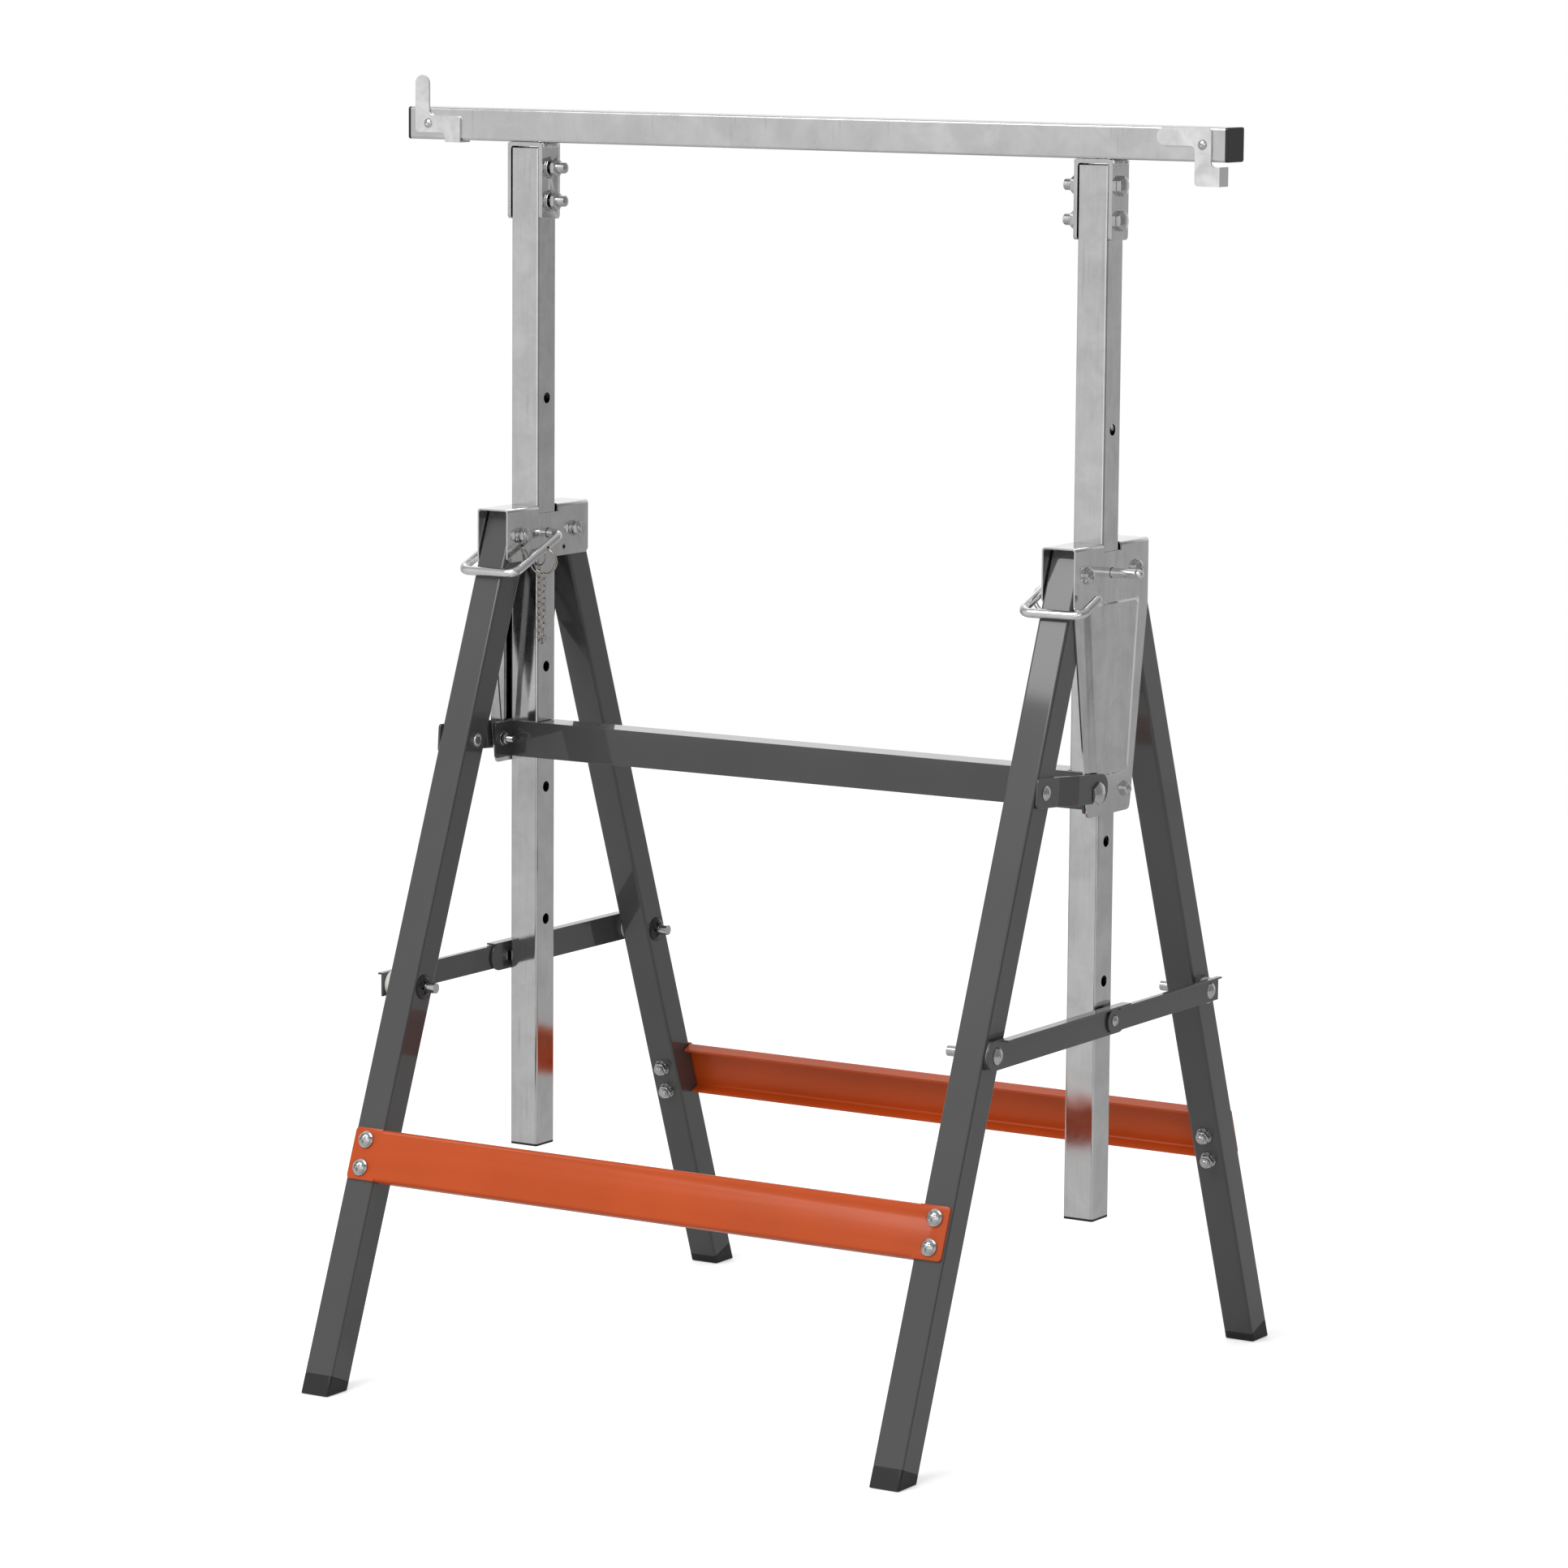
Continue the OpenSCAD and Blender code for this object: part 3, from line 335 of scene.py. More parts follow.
def build_cloud_group():
    """Patches: a cloudy noise that stands for the zinc's crystals. Rolled: the same drawn out
    along Z, as rolling does. Grain: finer than a millimetre. Marks: sparse thin scratches and
    pinholes. Waves: the sheet's own slow unevenness, which bends reflections."""
    titles = ("Patches", "Rolled", "Grain", "Marks", "Waves")
    group, given = new_group("cloudy_metal", {"Patch Scale": 60.0, "Grain Scale": 1500.0}, titles)
    plain = stretched(group)
    patches = remap(group, noise(group, plain, given["Patch Scale"], *PATCH_NOISE), *PATCH_SPAN)
    grain = noise(group, plain, given["Grain Scale"], *GRAIN_NOISE)
    marks = maths(group, "MAXIMUM", pattern(group, "scratches"), pattern(group, "pinholes"))
    values = (patches, pattern(group, "rolled"), grain, marks, pattern(group, "waves"))
    add_node(group, "NodeGroupOutput", dict(zip(titles, values)))
    return group


def build_paint_group():
    """Peel: the low, even ripple of sprayed paint. Dust: sparse pale specks. Scuff: faint
    long marks where the frame has been handled. Shade: a slow change of tone."""
    titles = ("Peel", "Dust", "Scuff", "Shade")
    group, given = new_group("sprayed_paint", {"Peel Scale": 420.0, "Dust": 0.2}, titles)
    plain = stretched(group)
    peel = noise(group, plain, given["Peel Scale"], *PEEL_NOISE)
    specks = add_node(group, "ShaderNodeTexVoronoi", {"Vector": plain, "Scale": SPECK_SCALE})
    near = remap(group, specks.outputs["Distance"], *SPECK_EDGE, 1, 0)
    chosen = maths(group, "MULTIPLY", near, pattern(group, "dusty_places"))
    dust = maths(group, "MULTIPLY", chosen, given["Dust"])
    values = (peel, dust, pattern(group, "scuffs"), pattern(group, "shade"))
    add_node(group, "NodeGroupOutput", dict(zip(titles, values)))
    return group


CLOUDY = build_cloud_group()
PAINT = build_paint_group()
print("effect groups:", CLOUDY.name, PAINT.name)

# %% [markdown]
# ## Three kinds of finish
# Sprayed paint, plated or galvanised steel, and moulded plastic differ in how their effects
# change colour, gloss and relief, so each kind has its own builder and every finish is one
# call of it. The relief is bump only, as it is far finer than the meshes.

# %% Material builders
# How much darker and lighter than its colour each kind gets, and what its details add
PAINT_TONES = (0.93, 1.07)
DUST_TONE, SCUFF_DULLS, PEEL_STRENGTH, PAINT_SPECULAR = 2.2, 0.18, 0.5, 0.2
MARK_TONE, PLATE_GLOSS, GRAIN_DEPTH, GRAIN_STRENGTH = 0.35, (0.7, 1.4), 0.00001, 0.4
PLASTIC_TONES, PLASTIC_PATCHES, PLASTIC_GRAIN = (0.9, 1.12), 35.0, 2400.0
PLASTIC_SPAN, PLASTIC_SPREAD, PLASTIC_DEPTH, PLASTIC_STRENGTH = (0.3, 0.7), 0.06, 0.00004, 0.6


def srgb(code):
    """Linear colour of a hexadecimal screen colour, by the sRGB curve."""
    channels = [int(code[i:i + 2], 16) / 255 for i in (1, 3, 5)]
    return tuple(c / 12.92 if c <= 0.04045 else ((c + 0.055) / 1.055) ** 2.4
                 for c in channels) + (1,)


def shaded(colour, factor):
    """The colour made lighter or darker by a factor."""
    return tuple(min(1.0, c * factor) for c in colour[:3]) + (1,)


def place_group(tree, group, **values):
    """The outputs of an effect group with its own values. Patch_Scale sets Patch Scale."""
    inputs = {key.replace("_", " "): value for key, value in values.items()}
    return add_node(tree, "ShaderNodeGroup", inputs, node_tree=group).outputs


def new_material(name):
    """A material with a lone Principled shader: the material, its tree and the inputs."""
    material = bpy.data.materials.new(name)
    material.use_nodes = True
    return material, material.node_tree, material.node_tree.nodes["Principled BSDF"].inputs


def painted(name, colour, roughness, coat, coat_roughness, dust=0.08, peel_depth=0.00006):
    """Sprayed paint: an even colour with a slight shade, peel, dust and dull scuffs."""
    material, tree, shader = new_material(name)
    base = srgb(colour)
    effect = place_group(tree, PAINT, Dust=dust)
    tone = mix_colours(tree, effect["Shade"], *(shaded(base, part) for part in PAINT_TONES))
    dusty = mix_colours(tree, effect["Dust"], tone, shaded(base, DUST_TONE))
    rough = remap(tree, effect["Scuff"], 0, 1, roughness, min(1, roughness + SCUFF_DULLS))
    feed(tree, dusty, shader["Base Color"])
    feed(tree, rough, shader["Roughness"])
    feed(tree, bump(tree, effect["Peel"], peel_depth, PEEL_STRENGTH), shader["Normal"])
    shader["Coat Weight"].default_value = coat
    shader["Coat Roughness"].default_value = coat_roughness
    shader["Specular IOR Level"].default_value = PAINT_SPECULAR
    return material


def zinc_plate(name, colour, roughness, patch_scale, contrast, rolled=0.3, marks=0.0, waves=0.0):
    """Plated or galvanised steel: cloudy patches and rolling marks change colour and gloss,
    thin marks darken it, and waves as deep as the given metres bend what it mirrors."""
    material, tree, shader = new_material(name)
    base = srgb(colour)
    effect = place_group(tree, CLOUDY, Patch_Scale=patch_scale)
    mask = maths(tree, "ADD", maths(tree, "MULTIPLY", effect["Patches"], 1 - rolled),
                 maths(tree, "MULTIPLY", effect["Rolled"], rolled))
    cloudy = mix_colours(tree, mask, shaded(base, 1 - contrast), shaded(base, 1 + contrast))
    marked = maths(tree, "MULTIPLY", effect["Marks"], marks)
    normal = bump(tree, effect["Grain"], GRAIN_DEPTH, GRAIN_STRENGTH)
    if waves:
        normal = bump(tree, effect["Waves"], waves, under=normal)
    gloss = remap(tree, mask, 0, 1, *(roughness * factor for factor in PLATE_GLOSS))
    feed(tree, mix_colours(tree, marked, cloudy, shaded(base, MARK_TONE)), shader["Base Color"])
    feed(tree, gloss, shader["Roughness"])
    feed(tree, normal, shader["Normal"])
    shader["Metallic"].default_value = 1.0
    return material


def moulded(name, colour, roughness):
    """Moulded plastic: an even colour with a fine spark-eroded grain."""
    material, tree, shader = new_material(name)
    base = srgb(colour)
    effect = place_group(tree, CLOUDY, Patch_Scale=PLASTIC_PATCHES, Grain_Scale=PLASTIC_GRAIN)
    tone = mix_colours(tree, effect["Patches"], *(shaded(base, part) for part in PLASTIC_TONES))
    rough = remap(tree, effect["Grain"], *PLASTIC_SPAN,
                  roughness - PLASTIC_SPREAD, roughness + PLASTIC_SPREAD)
    grain = bump(tree, effect["Grain"], PLASTIC_DEPTH, PLASTIC_STRENGTH)
    feed(tree, tone, shader["Base Color"])
    feed(tree, rough, shader["Roughness"])
    feed(tree, grain, shader["Normal"])
    return material


print("builders: painted, zinc_plate, moulded")

# %% [markdown]
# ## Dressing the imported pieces
# The record names a material slot for every node, so one finish per slot dresses them all.
# Only the two stop plates differ from their slot: their zinc is paler and more matt.

# %% Dress the nodes
FINISHES = {
    "dark_paint": painted("dark_grey_gloss_paint", "#464646", 0.35, coat=1.0,
                          coat_roughness=0.045),
    "orange_paint": painted("orange_gloss_paint", "#c24c13", 0.45, coat=0.35,
                            coat_roughness=0.22, peel_depth=0.00003),
    "zinc_sheet": zinc_plate("bright_zinc_sheet", "#d2d2d2", 0.10, patch_scale=45.0,
                             contrast=0.12, rolled=0.25, marks=0.18, waves=0.0006),
    "galvanised": zinc_plate("matt_galvanised_tube", "#d4d4d4", 0.29, patch_scale=30.0,
                             contrast=0.07, rolled=0.1, marks=0.2),
    "fasteners": zinc_plate("zinc_plated_fastener", "#cacaca", 0.09, patch_scale=180.0,
                            contrast=0.12),
    "push_nuts": zinc_plate("dark_spring_steel", "#4c4c4e", 0.25, patch_scale=200.0,
                            contrast=0.15),
    "pin_wire": zinc_plate("bright_plated_wire", "#e2e2e2", 0.1, patch_scale=120.0,
                           contrast=0.08, rolled=0.2, marks=0.3),
    "chain": zinc_plate("bright_plated_chain", "#b6b1a8", 0.12, patch_scale=300.0,
                        contrast=0.15),
    "black_plastic": moulded("black_moulded_plastic", "#1c1c1c", 0.45),
    "nylon": moulded("natural_nylon", "#dededa", 0.45),
}
STOP_ZINC = zinc_plate("matt_zinc_stop_plate", "#e4e4e4", 0.45, patch_scale=60.0,
                       contrast=0.06, rolled=0.1, marks=0.1)
SLOT_OF = {part["node"]: part["material_slot"] for part in frame["record"]["subparts"]}
for node_name, node_object in NODES.items():
    is_stop = node_name in ("stop_left", "stop_right")
    finish = STOP_ZINC if is_stop else FINISHES[SLOT_OF[node_name]]
    if not node_object.material_slots:
        node_object.data.materials.append(finish)
    for node_slot in node_object.material_slots:
        node_slot.material = finish
print("finishes:", ", ".join(sorted(FINISHES)))

# %% [markdown]
# ## Soft edges
# Punched and folded sheet never ends in a knife edge: the cut edge is broken and the bends
# are round, and each catches a thin bright line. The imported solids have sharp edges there.
# Their triangles could be redrawn by hand, but a short stack of modifiers keeps the mesh as
# it is: the loose triangles are welded, flat areas become single faces, and a narrow bevel
# rounds what is left.

# %% Round the sheet edges
# Width of the rounding in millimetres, and the nodes that have it
SOFT_EDGES = {
    0.3: ("strut_front_left", "strut_front_right", "strut_rear_left", "strut_rear_right",
          "saddle_nuts", "saddle_bolts", "latch_bolts", "latch_nuts"),
    0.35: ("head_left", "head_right"),
    0.4: ("latch_left", "latch_right", "cross_rail"),
    0.45: ("front_rail", "rear_rail"),
    0.5: ("front_foot_left", "front_foot_right", "rear_foot_left", "rear_foot_right",
          "beam_caps"),
    0.7: ("saddle_left", "saddle_right"),
}
WELD_WITHIN = 0.000002
FLAT_WITHIN = math.radians(0.5)
EDGE_FROM = math.radians(28)
EDGE_SEGMENTS = 2


def soften(node_object, width_mm):
    """Weld, flatten, and bevel every edge that turns more than the given angle."""
    weld = node_object.modifiers.new("weld", "WELD")
    weld.merge_threshold = WELD_WITHIN
    flat = node_object.modifiers.new("flat", "DECIMATE")
    flat.decimate_type = "DISSOLVE"
    flat.angle_limit = FLAT_WITHIN
    edge = node_object.modifiers.new("edge", "BEVEL")
    edge.width = width_mm / 1000
    edge.segments = EDGE_SEGMENTS
    edge.limit_method = "ANGLE"
    edge.angle_limit = EDGE_FROM


for edge_mm, node_names in SOFT_EDGES.items():
    for node_name in node_names:
        soften(NODES[node_name], edge_mm)
print("soft edges on", sum(len(node_names) for node_names in SOFT_EDGES.values()), "nodes")

# %% [markdown]
# ## Surfaces from formulas
# The small pieces below are all grids: a shape is a function of two numbers, worked out for
# the whole grid at once, and the grid's squares become the faces.

# %% Grid helpers
def grid_piece(name, grids, body, slot, around=True, capped=True):
    """One mesh of several grids of points, each with shape (along, round, 3). A grid that
    goes around closes on itself. A capped one also gets a face over its first and its last
    row, and the faces are turned outwards."""
    points, faces, start = [], [], 0
    for grid in grids:
        rows, columns = grid.shape[:2]
        index = start + np.arange(rows * columns).reshape(rows, columns)
        rim = np.concatenate([index, index[:, :1]], axis=1) if around else index
        quads = np.stack([rim[:-1, :-1], rim[:-1, 1:], rim[1:, 1:], rim[1:, :-1]], axis=-1)
        faces += quads.reshape(-1, 4).tolist()
        if capped:
            faces += [index[0][::-1].tolist(), index[-1].tolist()]
        points.append(grid.reshape(-1, 3))
        start += rows * columns
    mesh = bpy.data.meshes.new(name)
    mesh.from_pydata(np.concatenate(points).tolist(), [], faces)
    if capped:
        shell = bmesh.new()
        shell.from_mesh(mesh)
        bmesh.ops.recalc_face_normals(shell, faces=shell.faces)
        shell.to_mesh(mesh)
        shell.free()
    mesh.polygons.foreach_set("use_smooth", np.ones(len(mesh.polygons), dtype=bool))
    mesh.materials.append(FINISHES[slot])
    piece = bpy.data.objects.new(name, mesh)
    bpy.context.scene.collection.objects.link(piece)
    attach(piece, body)
    return piece


def full_turn(steps):
    """Angles of one turn, without the last, which is the first again."""
    return np.linspace(0, 2 * np.pi, steps, endpoint=False)


def about_axis(height, radius, turn, centre, axis):
    """Points at a height along an axis and a radius from it. The three arrays broadcast to
    (along, round); two unit vectors across the axis carry the cosine and sine of the turn."""
    axis = np.array(axis, dtype=float)
    side = np.cross(axis, (0, 0, 1.0))
    side /= np.linalg.norm(side)
    other = np.cross(axis, side)
    height, radius, turn = (part[..., None] for part in np.broadcast_arrays(height, radius, turn))
    return np.array(centre) + height * axis + radius * (np.cos(turn) * side + np.sin(turn) * other)


print("grid helpers ready")

# %% [markdown]
# ## The pressed panel of the heads
# The outer cheek of each zinc head has a panel pressed outwards, to stiffen it. The packed
# solid has it with plain slopes. A press leaves no sharp edge, so the shape here is a height
# over the flat cheek, found from the distance to the panel's outline. It could be modelled
# with loops and a bevel, but as a formula the roll of the edge is one number.

# %% Pressed panels
PANEL_ROLL = 0.0065
PANEL_RISE = 0.00205
PANEL_SKIN = 0.00003
# The flat cheek lies this far inside the head's box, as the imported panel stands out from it
CHEEK_INSIDE = 0.002
PANEL_TOP_DROP, PANEL_FOOT_LIFT = 0.0200, 0.0270
PANEL_HALF_TOP, PANEL_HALF_FOOT = 0.0432, 0.0290
PANEL_CORNER, PANEL_INSET = 0.0016, 0.0004
PANEL_ROWS, PANEL_COLUMNS = 180, 130


def pressed_panel(name, node_name, side):
    """Height = rise times a smooth step of (distance inside the outline / roll). The outline
    is a trapezium; the smallest of its four inward distances, blended softly where two meet,
    is the distance, so its corners come out round."""
    low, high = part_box(node_name)
    cheek = high.x - CHEEK_INSIDE if side > 0 else low.x + CHEEK_INSIDE
    top, bottom = PIVOT_Z - PANEL_TOP_DROP, low.z + PANEL_FOOT_LIFT
    v = np.linspace(0, 1, PANEL_ROWS)[:, None]
    u = np.linspace(-1, 1, PANEL_COLUMNS)[None]
    z = bottom + v * (top - bottom) + 0 * u
    half = PANEL_HALF_FOOT + v * (PANEL_HALF_TOP - PANEL_HALF_FOOT)
    y = u * half
    lean = math.cos(math.atan2(PANEL_HALF_TOP - PANEL_HALF_FOOT, top - bottom))
    gaps = np.stack([(half - y) * lean, (half + y) * lean, (top - z), (z - bottom)])
    inside = -PANEL_CORNER * np.log(np.exp(-gaps / PANEL_CORNER).sum(axis=0)) - PANEL_INSET
    share = np.clip(inside / PANEL_ROLL, 0, 1)
    height = PANEL_SKIN + PANEL_RISE * share * share * (3 - 2 * share)
    points = np.stack([cheek + side * height, POST_Y + y, z], axis=-1)
    if side < 0:
        points = points[:, ::-1]
    grid_piece(name, [points], "base", "zinc_sheet", around=False, capped=False)


for side_name, side in SIDES:
    pressed_panel("panel_" + side_name, "head_" + side_name, side)
print("pressed panels", PANEL_RISE * 1000, "mm high")

# %% [markdown]
# ## Threaded bolt ends
# The saddle bolts end in a few turns of thread with a rounded tip. A screw thread could be a
# curve with a bevel profile; here it is one formula: the radius at a place along the bolt
# rises and falls with the distance along the pitch less the share of a turn.

# %% Thread on the saddle bolts
THREAD_PITCH = 0.00125
THREAD_DEPTH = 0.00035
THREAD_RADIUS = 0.0043
THREAD_LENGTH = 0.0066
THREAD_TIP = 0.0015
THREAD_ROWS, THREAD_ROUND = 96, 40
# How far the nuts' faces are from the post's middle, and the bolts' axes from the nuts' box
NUT_FACE_IN = 0.0241
BOLT_IN = 0.0085


def threaded_end(name, centre, direction):
    """Helical thread: radius less depth times a triangle wave of (along / pitch - turn),
    narrowing to a rounded tip over the last 1.5 mm as a quarter ellipse does."""
    along = np.linspace(0, THREAD_LENGTH, THREAD_ROWS)[:, None]
    turn = full_turn(THREAD_ROUND)[None]
    ridge = 2 * np.abs((along / THREAD_PITCH - turn / (2 * np.pi)) % 1.0 - 0.5)
    tip = np.clip((along - (THREAD_LENGTH - THREAD_TIP)) / THREAD_TIP, 0, 0.98)
    size = (THREAD_RADIUS - THREAD_DEPTH * ridge) * np.sqrt(1 - tip ** 2)
    grid_piece(name, [about_axis(along, size, turn, centre, direction)], "top", "fasteners")


NUT_LOW, NUT_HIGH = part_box("saddle_nuts")
NUT_FACE_X = POST_X - NUT_FACE_IN
BOLT_LEVELS = (("upper", NUT_HIGH.z - BOLT_IN), ("lower", NUT_LOW.z + BOLT_IN))
for side_name, side in SIDES:
    for level_name, level in BOLT_LEVELS:
        threaded_end("thread_" + side_name + "_" + level_name,
                     (side * NUT_FACE_X, POST_Y, level), (-side, 0, 0))
print("threads at x", round(NUT_FACE_X, 4), "z", [round(level, 4) for _, level in BOLT_LEVELS])

# %% [markdown]
# ## Cross-head screws
# The rails and the leg pivots are held by pan-head screws on washers, and their cross
# recesses are easy to see in the photograph. A screw could be joined from a disc, a cap and
# a cylinder with the cross cut out of it. One formula does it all: a profile turned about
# the axis, with the cap pushed in wherever a point lies within the cross.

# %% Screws
WASHER_RADIUS, WASHER_THICK = 0.0065, 0.0015
WASHER_UNDERCUT, WASHER_CHAMFER = 0.0002, 0.0003
HEAD_RADIUS, HEAD_WALL_SHARE = 0.0055, 0.35
SHANK_RADIUS, SHANK_LENGTH, SHANK_CHAMFER, SHANK_TIP = 0.003, 0.036, 0.0006, 0.0004
CAP_MIDDLE, CAP_OUTER_ROWS, CAP_INNER_ROWS, SCREW_ROUND = 0.00005, 8, 30, 96
CROSS_HALF, CROSS_ARM, CROSS_DEEP = 0.00095, 0.0032, 0.0016
CROSS_SOFT_SIDE, CROSS_SOFT_END, CROSS_CLEAR, CROSS_TURN = 0.0003, 0.0005, 0.0002, 0.3
CREASE = math.radians(40)
RAIL_HEAD_HEIGHT, PIVOT_HEAD_HEIGHT = 0.0039, 0.0036
# Where the screws sit: the leg's middle plane, the rail's height, and along and off the leg
LEG_X, RAIL_Z, TUBE_HALF, RAIL_FACE, SCREW_STEP = 0.25, 0.1739, 0.0125, 0.0146, 0.01075
SPLAY_FRONT, SPLAY_REAR = math.radians(21), math.radians(20.1)


def cross_screw(centre, outward, head_height):
    """Profile from the shank's tip over the washer to the middle of the cap, a sphere's
    slice. The cap sinks by the depth times a soft mask: 1 where the smaller of the two
    distances from the arms' lines is under the half width, and the larger under the arm."""
    wall = head_height * HEAD_WALL_SHARE
    rise = head_height - wall
    ball = (HEAD_RADIUS ** 2 + rise ** 2) / (2 * rise)
    cap = np.concatenate([np.linspace(HEAD_RADIUS, CROSS_ARM, CAP_OUTER_ROWS),
                          np.linspace(CROSS_ARM, CAP_MIDDLE, CAP_INNER_ROWS)[1:]])
    under = WASHER_THICK + head_height - ball
    heights = np.concatenate([
        [-SHANK_LENGTH, -SHANK_LENGTH, -SHANK_LENGTH + SHANK_CHAMFER, 0, 0,
         WASHER_THICK - WASHER_CHAMFER, WASHER_THICK, WASHER_THICK],
        under + np.sqrt(ball ** 2 - cap ** 2)])
    radii = np.concatenate([
        [SHANK_TIP, SHANK_RADIUS - SHANK_CHAMFER, SHANK_RADIUS, SHANK_RADIUS,
         WASHER_RADIUS - WASHER_UNDERCUT, WASHER_RADIUS, WASHER_RADIUS - WASHER_CHAMFER,
         HEAD_RADIUS], cap])
    turn = full_turn(SCREW_ROUND)[None]
    heights, radii = heights[:, None], radii[:, None]
    first, second = np.abs(radii * np.cos(turn)), np.abs(radii * np.sin(turn))
    thin = np.clip((CROSS_HALF - np.minimum(first, second)) / CROSS_SOFT_SIDE + 0.5, 0, 1)
    short = np.clip((CROSS_ARM - np.maximum(first, second)) / CROSS_SOFT_END + 0.5, 0, 1)
    on_cap = heights > WASHER_THICK + wall + CROSS_CLEAR
    sunk = heights - on_cap * CROSS_DEEP * thin * short
    return about_axis(sunk, radii, turn + CROSS_TURN, centre, outward)


def replace_screws(node_name, body, places, head_height):
    """A piece of several screws, each a centre and a direction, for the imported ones."""
    screws = [cross_screw(centre, outward, head_height) for centre, outward in places]
    piece = grid_piece("cross_" + node_name, screws, body, "fasteners")
    piece.data.set_sharp_from_angle(angle=CREASE)
    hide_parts(node_name)


def rail_places(way, splay):
    """Two screws down each leg. From the pivot, a place is the face's offset along the
    outward normal (cos splay, sin splay) plus a distance along the leg (sin, -cos)."""
    down = (PIVOT_Z + TUBE_HALF * math.sin(splay) - RAIL_Z) / math.cos(splay)
    outward = (0, way * math.cos(splay), math.sin(splay))
    return [((side * LEG_X,
              POST_Y + way * (PIVOT_OUT + RAIL_FACE * math.cos(splay) + far * math.sin(splay)),
              PIVOT_Z + RAIL_FACE * math.sin(splay) - far * math.cos(splay)), outward)
            for side in (-1, 1) for far in (down - SCREW_STEP, down + SCREW_STEP)]


PIVOT_OUT = PIVOT_Y - POST_Y
HEAD_FACE_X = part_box("pivot_screws")[1].x - WASHER_THICK - PIVOT_HEAD_HEIGHT
replace_screws("front_rail_screws", "base", rail_places(-1, SPLAY_FRONT), RAIL_HEAD_HEIGHT)
replace_screws("rear_rail_screws", "rear_frame", rail_places(1, SPLAY_REAR), RAIL_HEAD_HEIGHT)
replace_screws("pivot_screws", "base", [
    ((side * HEAD_FACE_X, POST_Y + way * PIVOT_OUT, PIVOT_Z), (side, 0, 0))
    for side in (-1, 1) for way in (-1, 1)], PIVOT_HEAD_HEIGHT)
print("screws: heads", HEAD_RADIUS * 2000, "mm across, pivots at x", round(HEAD_FACE_X, 4))

# %% [markdown]
# ## Weld beads
# Each saddle is welded under the beam on both sides. A bead is a row of overlapping puddles.
# It could be a row of squashed balls; here a round profile is carried along the joint, and
# its radius swells and shrinks once a puddle, with a slower wander so that no two are alike.

# %% Beads under the beam
BEAD_RADIUS = 0.0024
PUDDLE = 0.0026
BEAD_SWELL, BEAD_UNEVEN, BEAD_UNEVEN_RATE = 0.12, 0.06, 900
BEAD_WANDER, BEAD_WANDER_RATE = 0.0003, 700
BEAD_HALF = 0.0113
BEAD_DROP = 0.0026
BEAD_ROWS, BEAD_ROUND = 64, 20
BEAD_PLACES = (("outer", 0.0150), ("inner", -0.0150))
BEAD_SIDE_PHASE, BEAD_PLACE_PHASE = 1.7, 40


def weld_bead(name, x, z, phase):
    """Circle carried along Y. Its radius is the bead radius times one plus the swell times
    |sin(pi y / puddle + phase)| plus a slower sine, and it shrinks to a tenth at both ends
    as the root of 1 - (2 share - 1)^8. A third sine moves its middle from side to side."""
    share = np.linspace(0, 1, BEAD_ROWS)
    along = POST_Y + BEAD_HALF * (2 * share - 1)
    puddles = BEAD_SWELL * np.abs(np.sin(np.pi * along / PUDDLE + phase))
    swell = 1 + puddles + BEAD_UNEVEN * np.sin(along * BEAD_UNEVEN_RATE + phase)
    ends = np.sqrt(np.clip(1 - (2 * share - 1) ** 8, 0.01, 1))
    angle = full_turn(BEAD_ROUND)
    radius = (BEAD_RADIUS * swell * ends)[:, None]
    wander = BEAD_WANDER * np.sin(along * BEAD_WANDER_RATE + 2 * phase)[:, None]
    points = np.stack([x + wander + radius * np.cos(angle),
                       np.repeat(along[:, None], BEAD_ROUND, axis=1),
                       z + radius * np.sin(angle)], axis=-1)
    grid_piece(name, [points], "top", "zinc_sheet")


SADDLE_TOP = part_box("saddle_right")[1].z
for side_name, side in SIDES:
    for place_name, offset in BEAD_PLACES:
        weld_bead("weld_" + side_name + "_" + place_name, side * (POST_X + offset),
                  SADDLE_TOP - BEAD_DROP, BEAD_SIDE_PHASE * side + BEAD_PLACE_PHASE * offset)
print("beads at z", round(SADDLE_TOP, 4))

# %% [markdown]
# ## Star push nuts
# A push nut is a dished spring-steel disc whose hole is cut into teeth that bite the stud.
# It could be a turned dish with teeth cut out of it, but both fit in one formula of radius
# and angle, and a Solidify modifier gives the thin sheet its wall.

# %% Push nuts
STAR_OUT, STAR_IN, STAR_NOTCH, STAR_RISE = 0.0095, 0.0042, 0.0021, 0.0024
STAR_TEETH, STAR_FLAT, STAR_CURVE = 6, 0.001, 0.8
STAR_NOTCH_FROM, STAR_NOTCH_SOFT = 0.55, 0.25
STAR_INSIDE, STAR_WALL = 0.0006, 0.0005
STAR_ROWS, STAR_ROUND = 14, 144


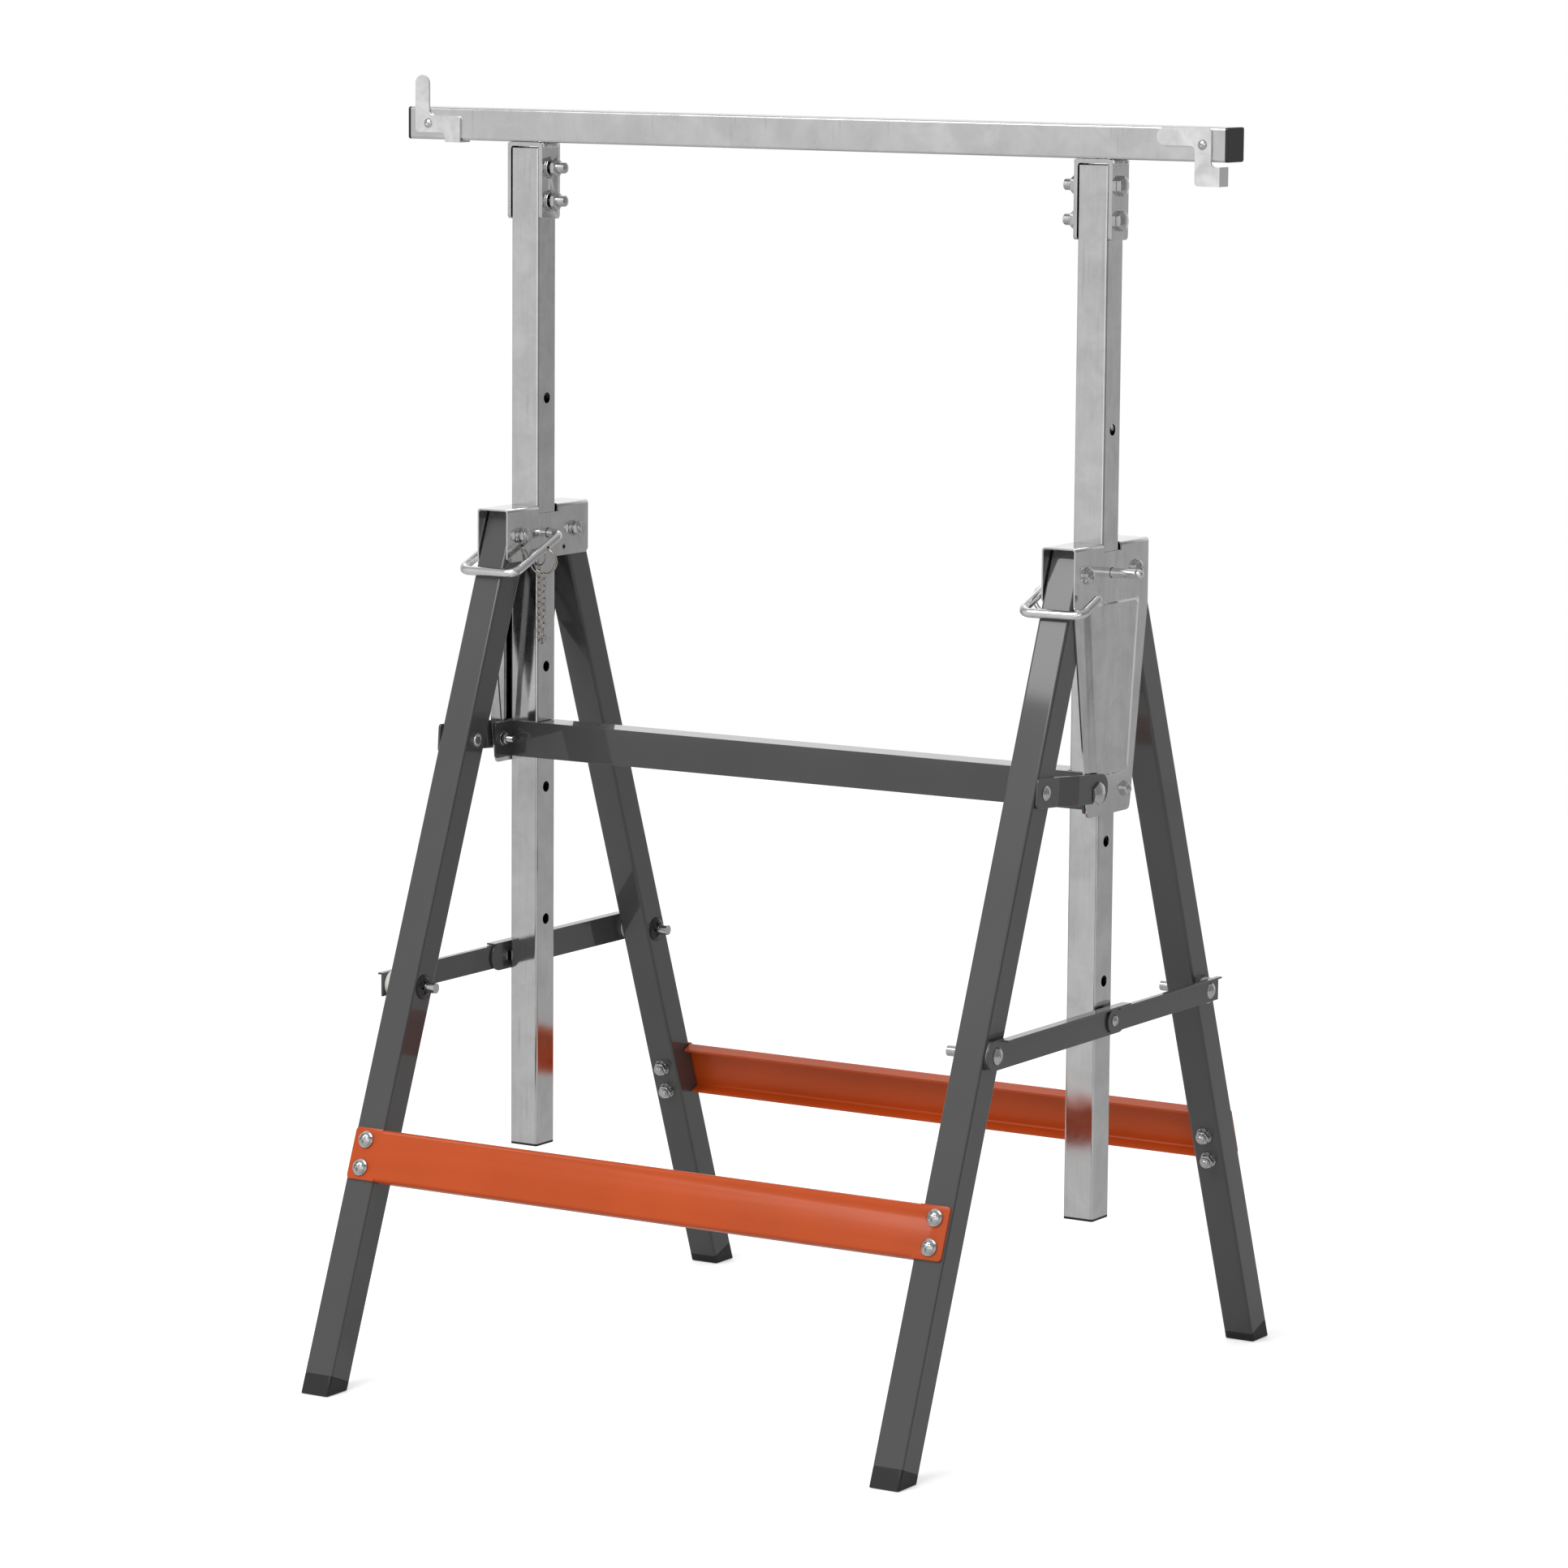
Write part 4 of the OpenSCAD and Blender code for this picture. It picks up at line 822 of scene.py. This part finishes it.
def star_nuts(node_name, body):
    """Two discs, one per side. From rim to hole the radius runs to an inner edge that is
    notched six times round. Past a flat rim the height rises as the 0.8th power of the way
    in, to the dish."""
    low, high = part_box(node_name)
    middle_y, middle_z = (low.y + high.y) / 2, (low.z + high.z) / 2
    way = np.linspace(0, 1, STAR_ROWS)[:, None]
    angle = full_turn(STAR_ROUND)[None]
    notch = np.clip((np.cos(STAR_TEETH * angle) - STAR_NOTCH_FROM) / STAR_NOTCH_SOFT, 0, 1)
    radius = STAR_OUT + way * (STAR_IN + STAR_NOTCH * notch - STAR_OUT)
    slope = STAR_OUT - STAR_FLAT
    height = STAR_RISE * np.clip((slope - radius) / (slope - STAR_IN), 0, 1) ** STAR_CURVE
    discs = []
    for side in (-1, 1):
        face = side * (high.x - STAR_INSIDE)
        turn = angle if side < 0 else -angle
        discs.append(np.stack([face - side * height, middle_y + radius * np.cos(turn),
                               middle_z + radius * np.sin(turn)], axis=-1))
    piece = grid_piece("star_" + node_name, discs, body, "push_nuts", capped=False)
    wall = piece.modifiers.new("wall", "SOLIDIFY")
    wall.thickness = STAR_WALL
    wall.offset = 0
    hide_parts(node_name)


star_nuts("push_nuts_front", "base")
star_nuts("push_nuts_rear", "rear_frame")
print("star nuts", STAR_OUT * 2000, "mm across")

# %% [markdown]
# ## Split rings
# The chains end in split rings, wire wound twice round like a key ring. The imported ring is
# one turn. A ring could be two circles side by side, but the real one is one long coil, so
# it is a helix with a small circle carried along it.

# %% Coils
COIL_RADIUS, COIL_WIRE, COIL_TURNS = 0.0104, 0.00055, 2.0
# One turn moves the wire on by a little over its own thickness
COIL_PITCH = COIL_WIRE * 2.1
COIL_TILT = math.radians(24)
COIL_FORWARD, COIL_DROP = 0.0014, 0.0108
COIL_ROWS, COIL_ROUND = 160, 12


def split_ring(name, centre, body):
    """Helix in the XZ plane: x and z are the cosine and sine of the turn, and y grows with
    the turn by the pitch; a small circle across the path makes the wire."""
    turn = np.linspace(0, COIL_TURNS * 2 * np.pi, COIL_ROWS)
    path = np.stack([COIL_RADIUS * np.cos(turn),
                     COIL_PITCH * (turn / (2 * np.pi) - COIL_TURNS / 2),
                     COIL_RADIUS * np.sin(turn)], axis=-1)
    outward = np.stack([np.cos(turn), np.zeros_like(turn), np.sin(turn)], axis=-1)
    angle = full_turn(COIL_ROUND)
    across = (np.cos(angle)[None, :, None] * outward[:, None]
              - np.sin(angle)[None, :, None] * np.array((0, 1.0, 0)))
    points = path[:, None] + COIL_WIRE * across
    spin = np.array(Matrix.Rotation(COIL_TILT, 3, "Z"))
    grid_piece(name, [points @ spin.T + np.array(centre)], body, "chain")


for side_name, _ in SIDES:
    low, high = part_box("pin_chain_" + side_name)
    split_ring("split_ring_" + side_name,
               ((low.x + high.x) / 2, (low.y + high.y) / 2 - COIL_FORWARD, high.z - COIL_DROP),
               "pin_chain_" + side_name)
print("split rings", COIL_RADIUS * 2000, "mm across")
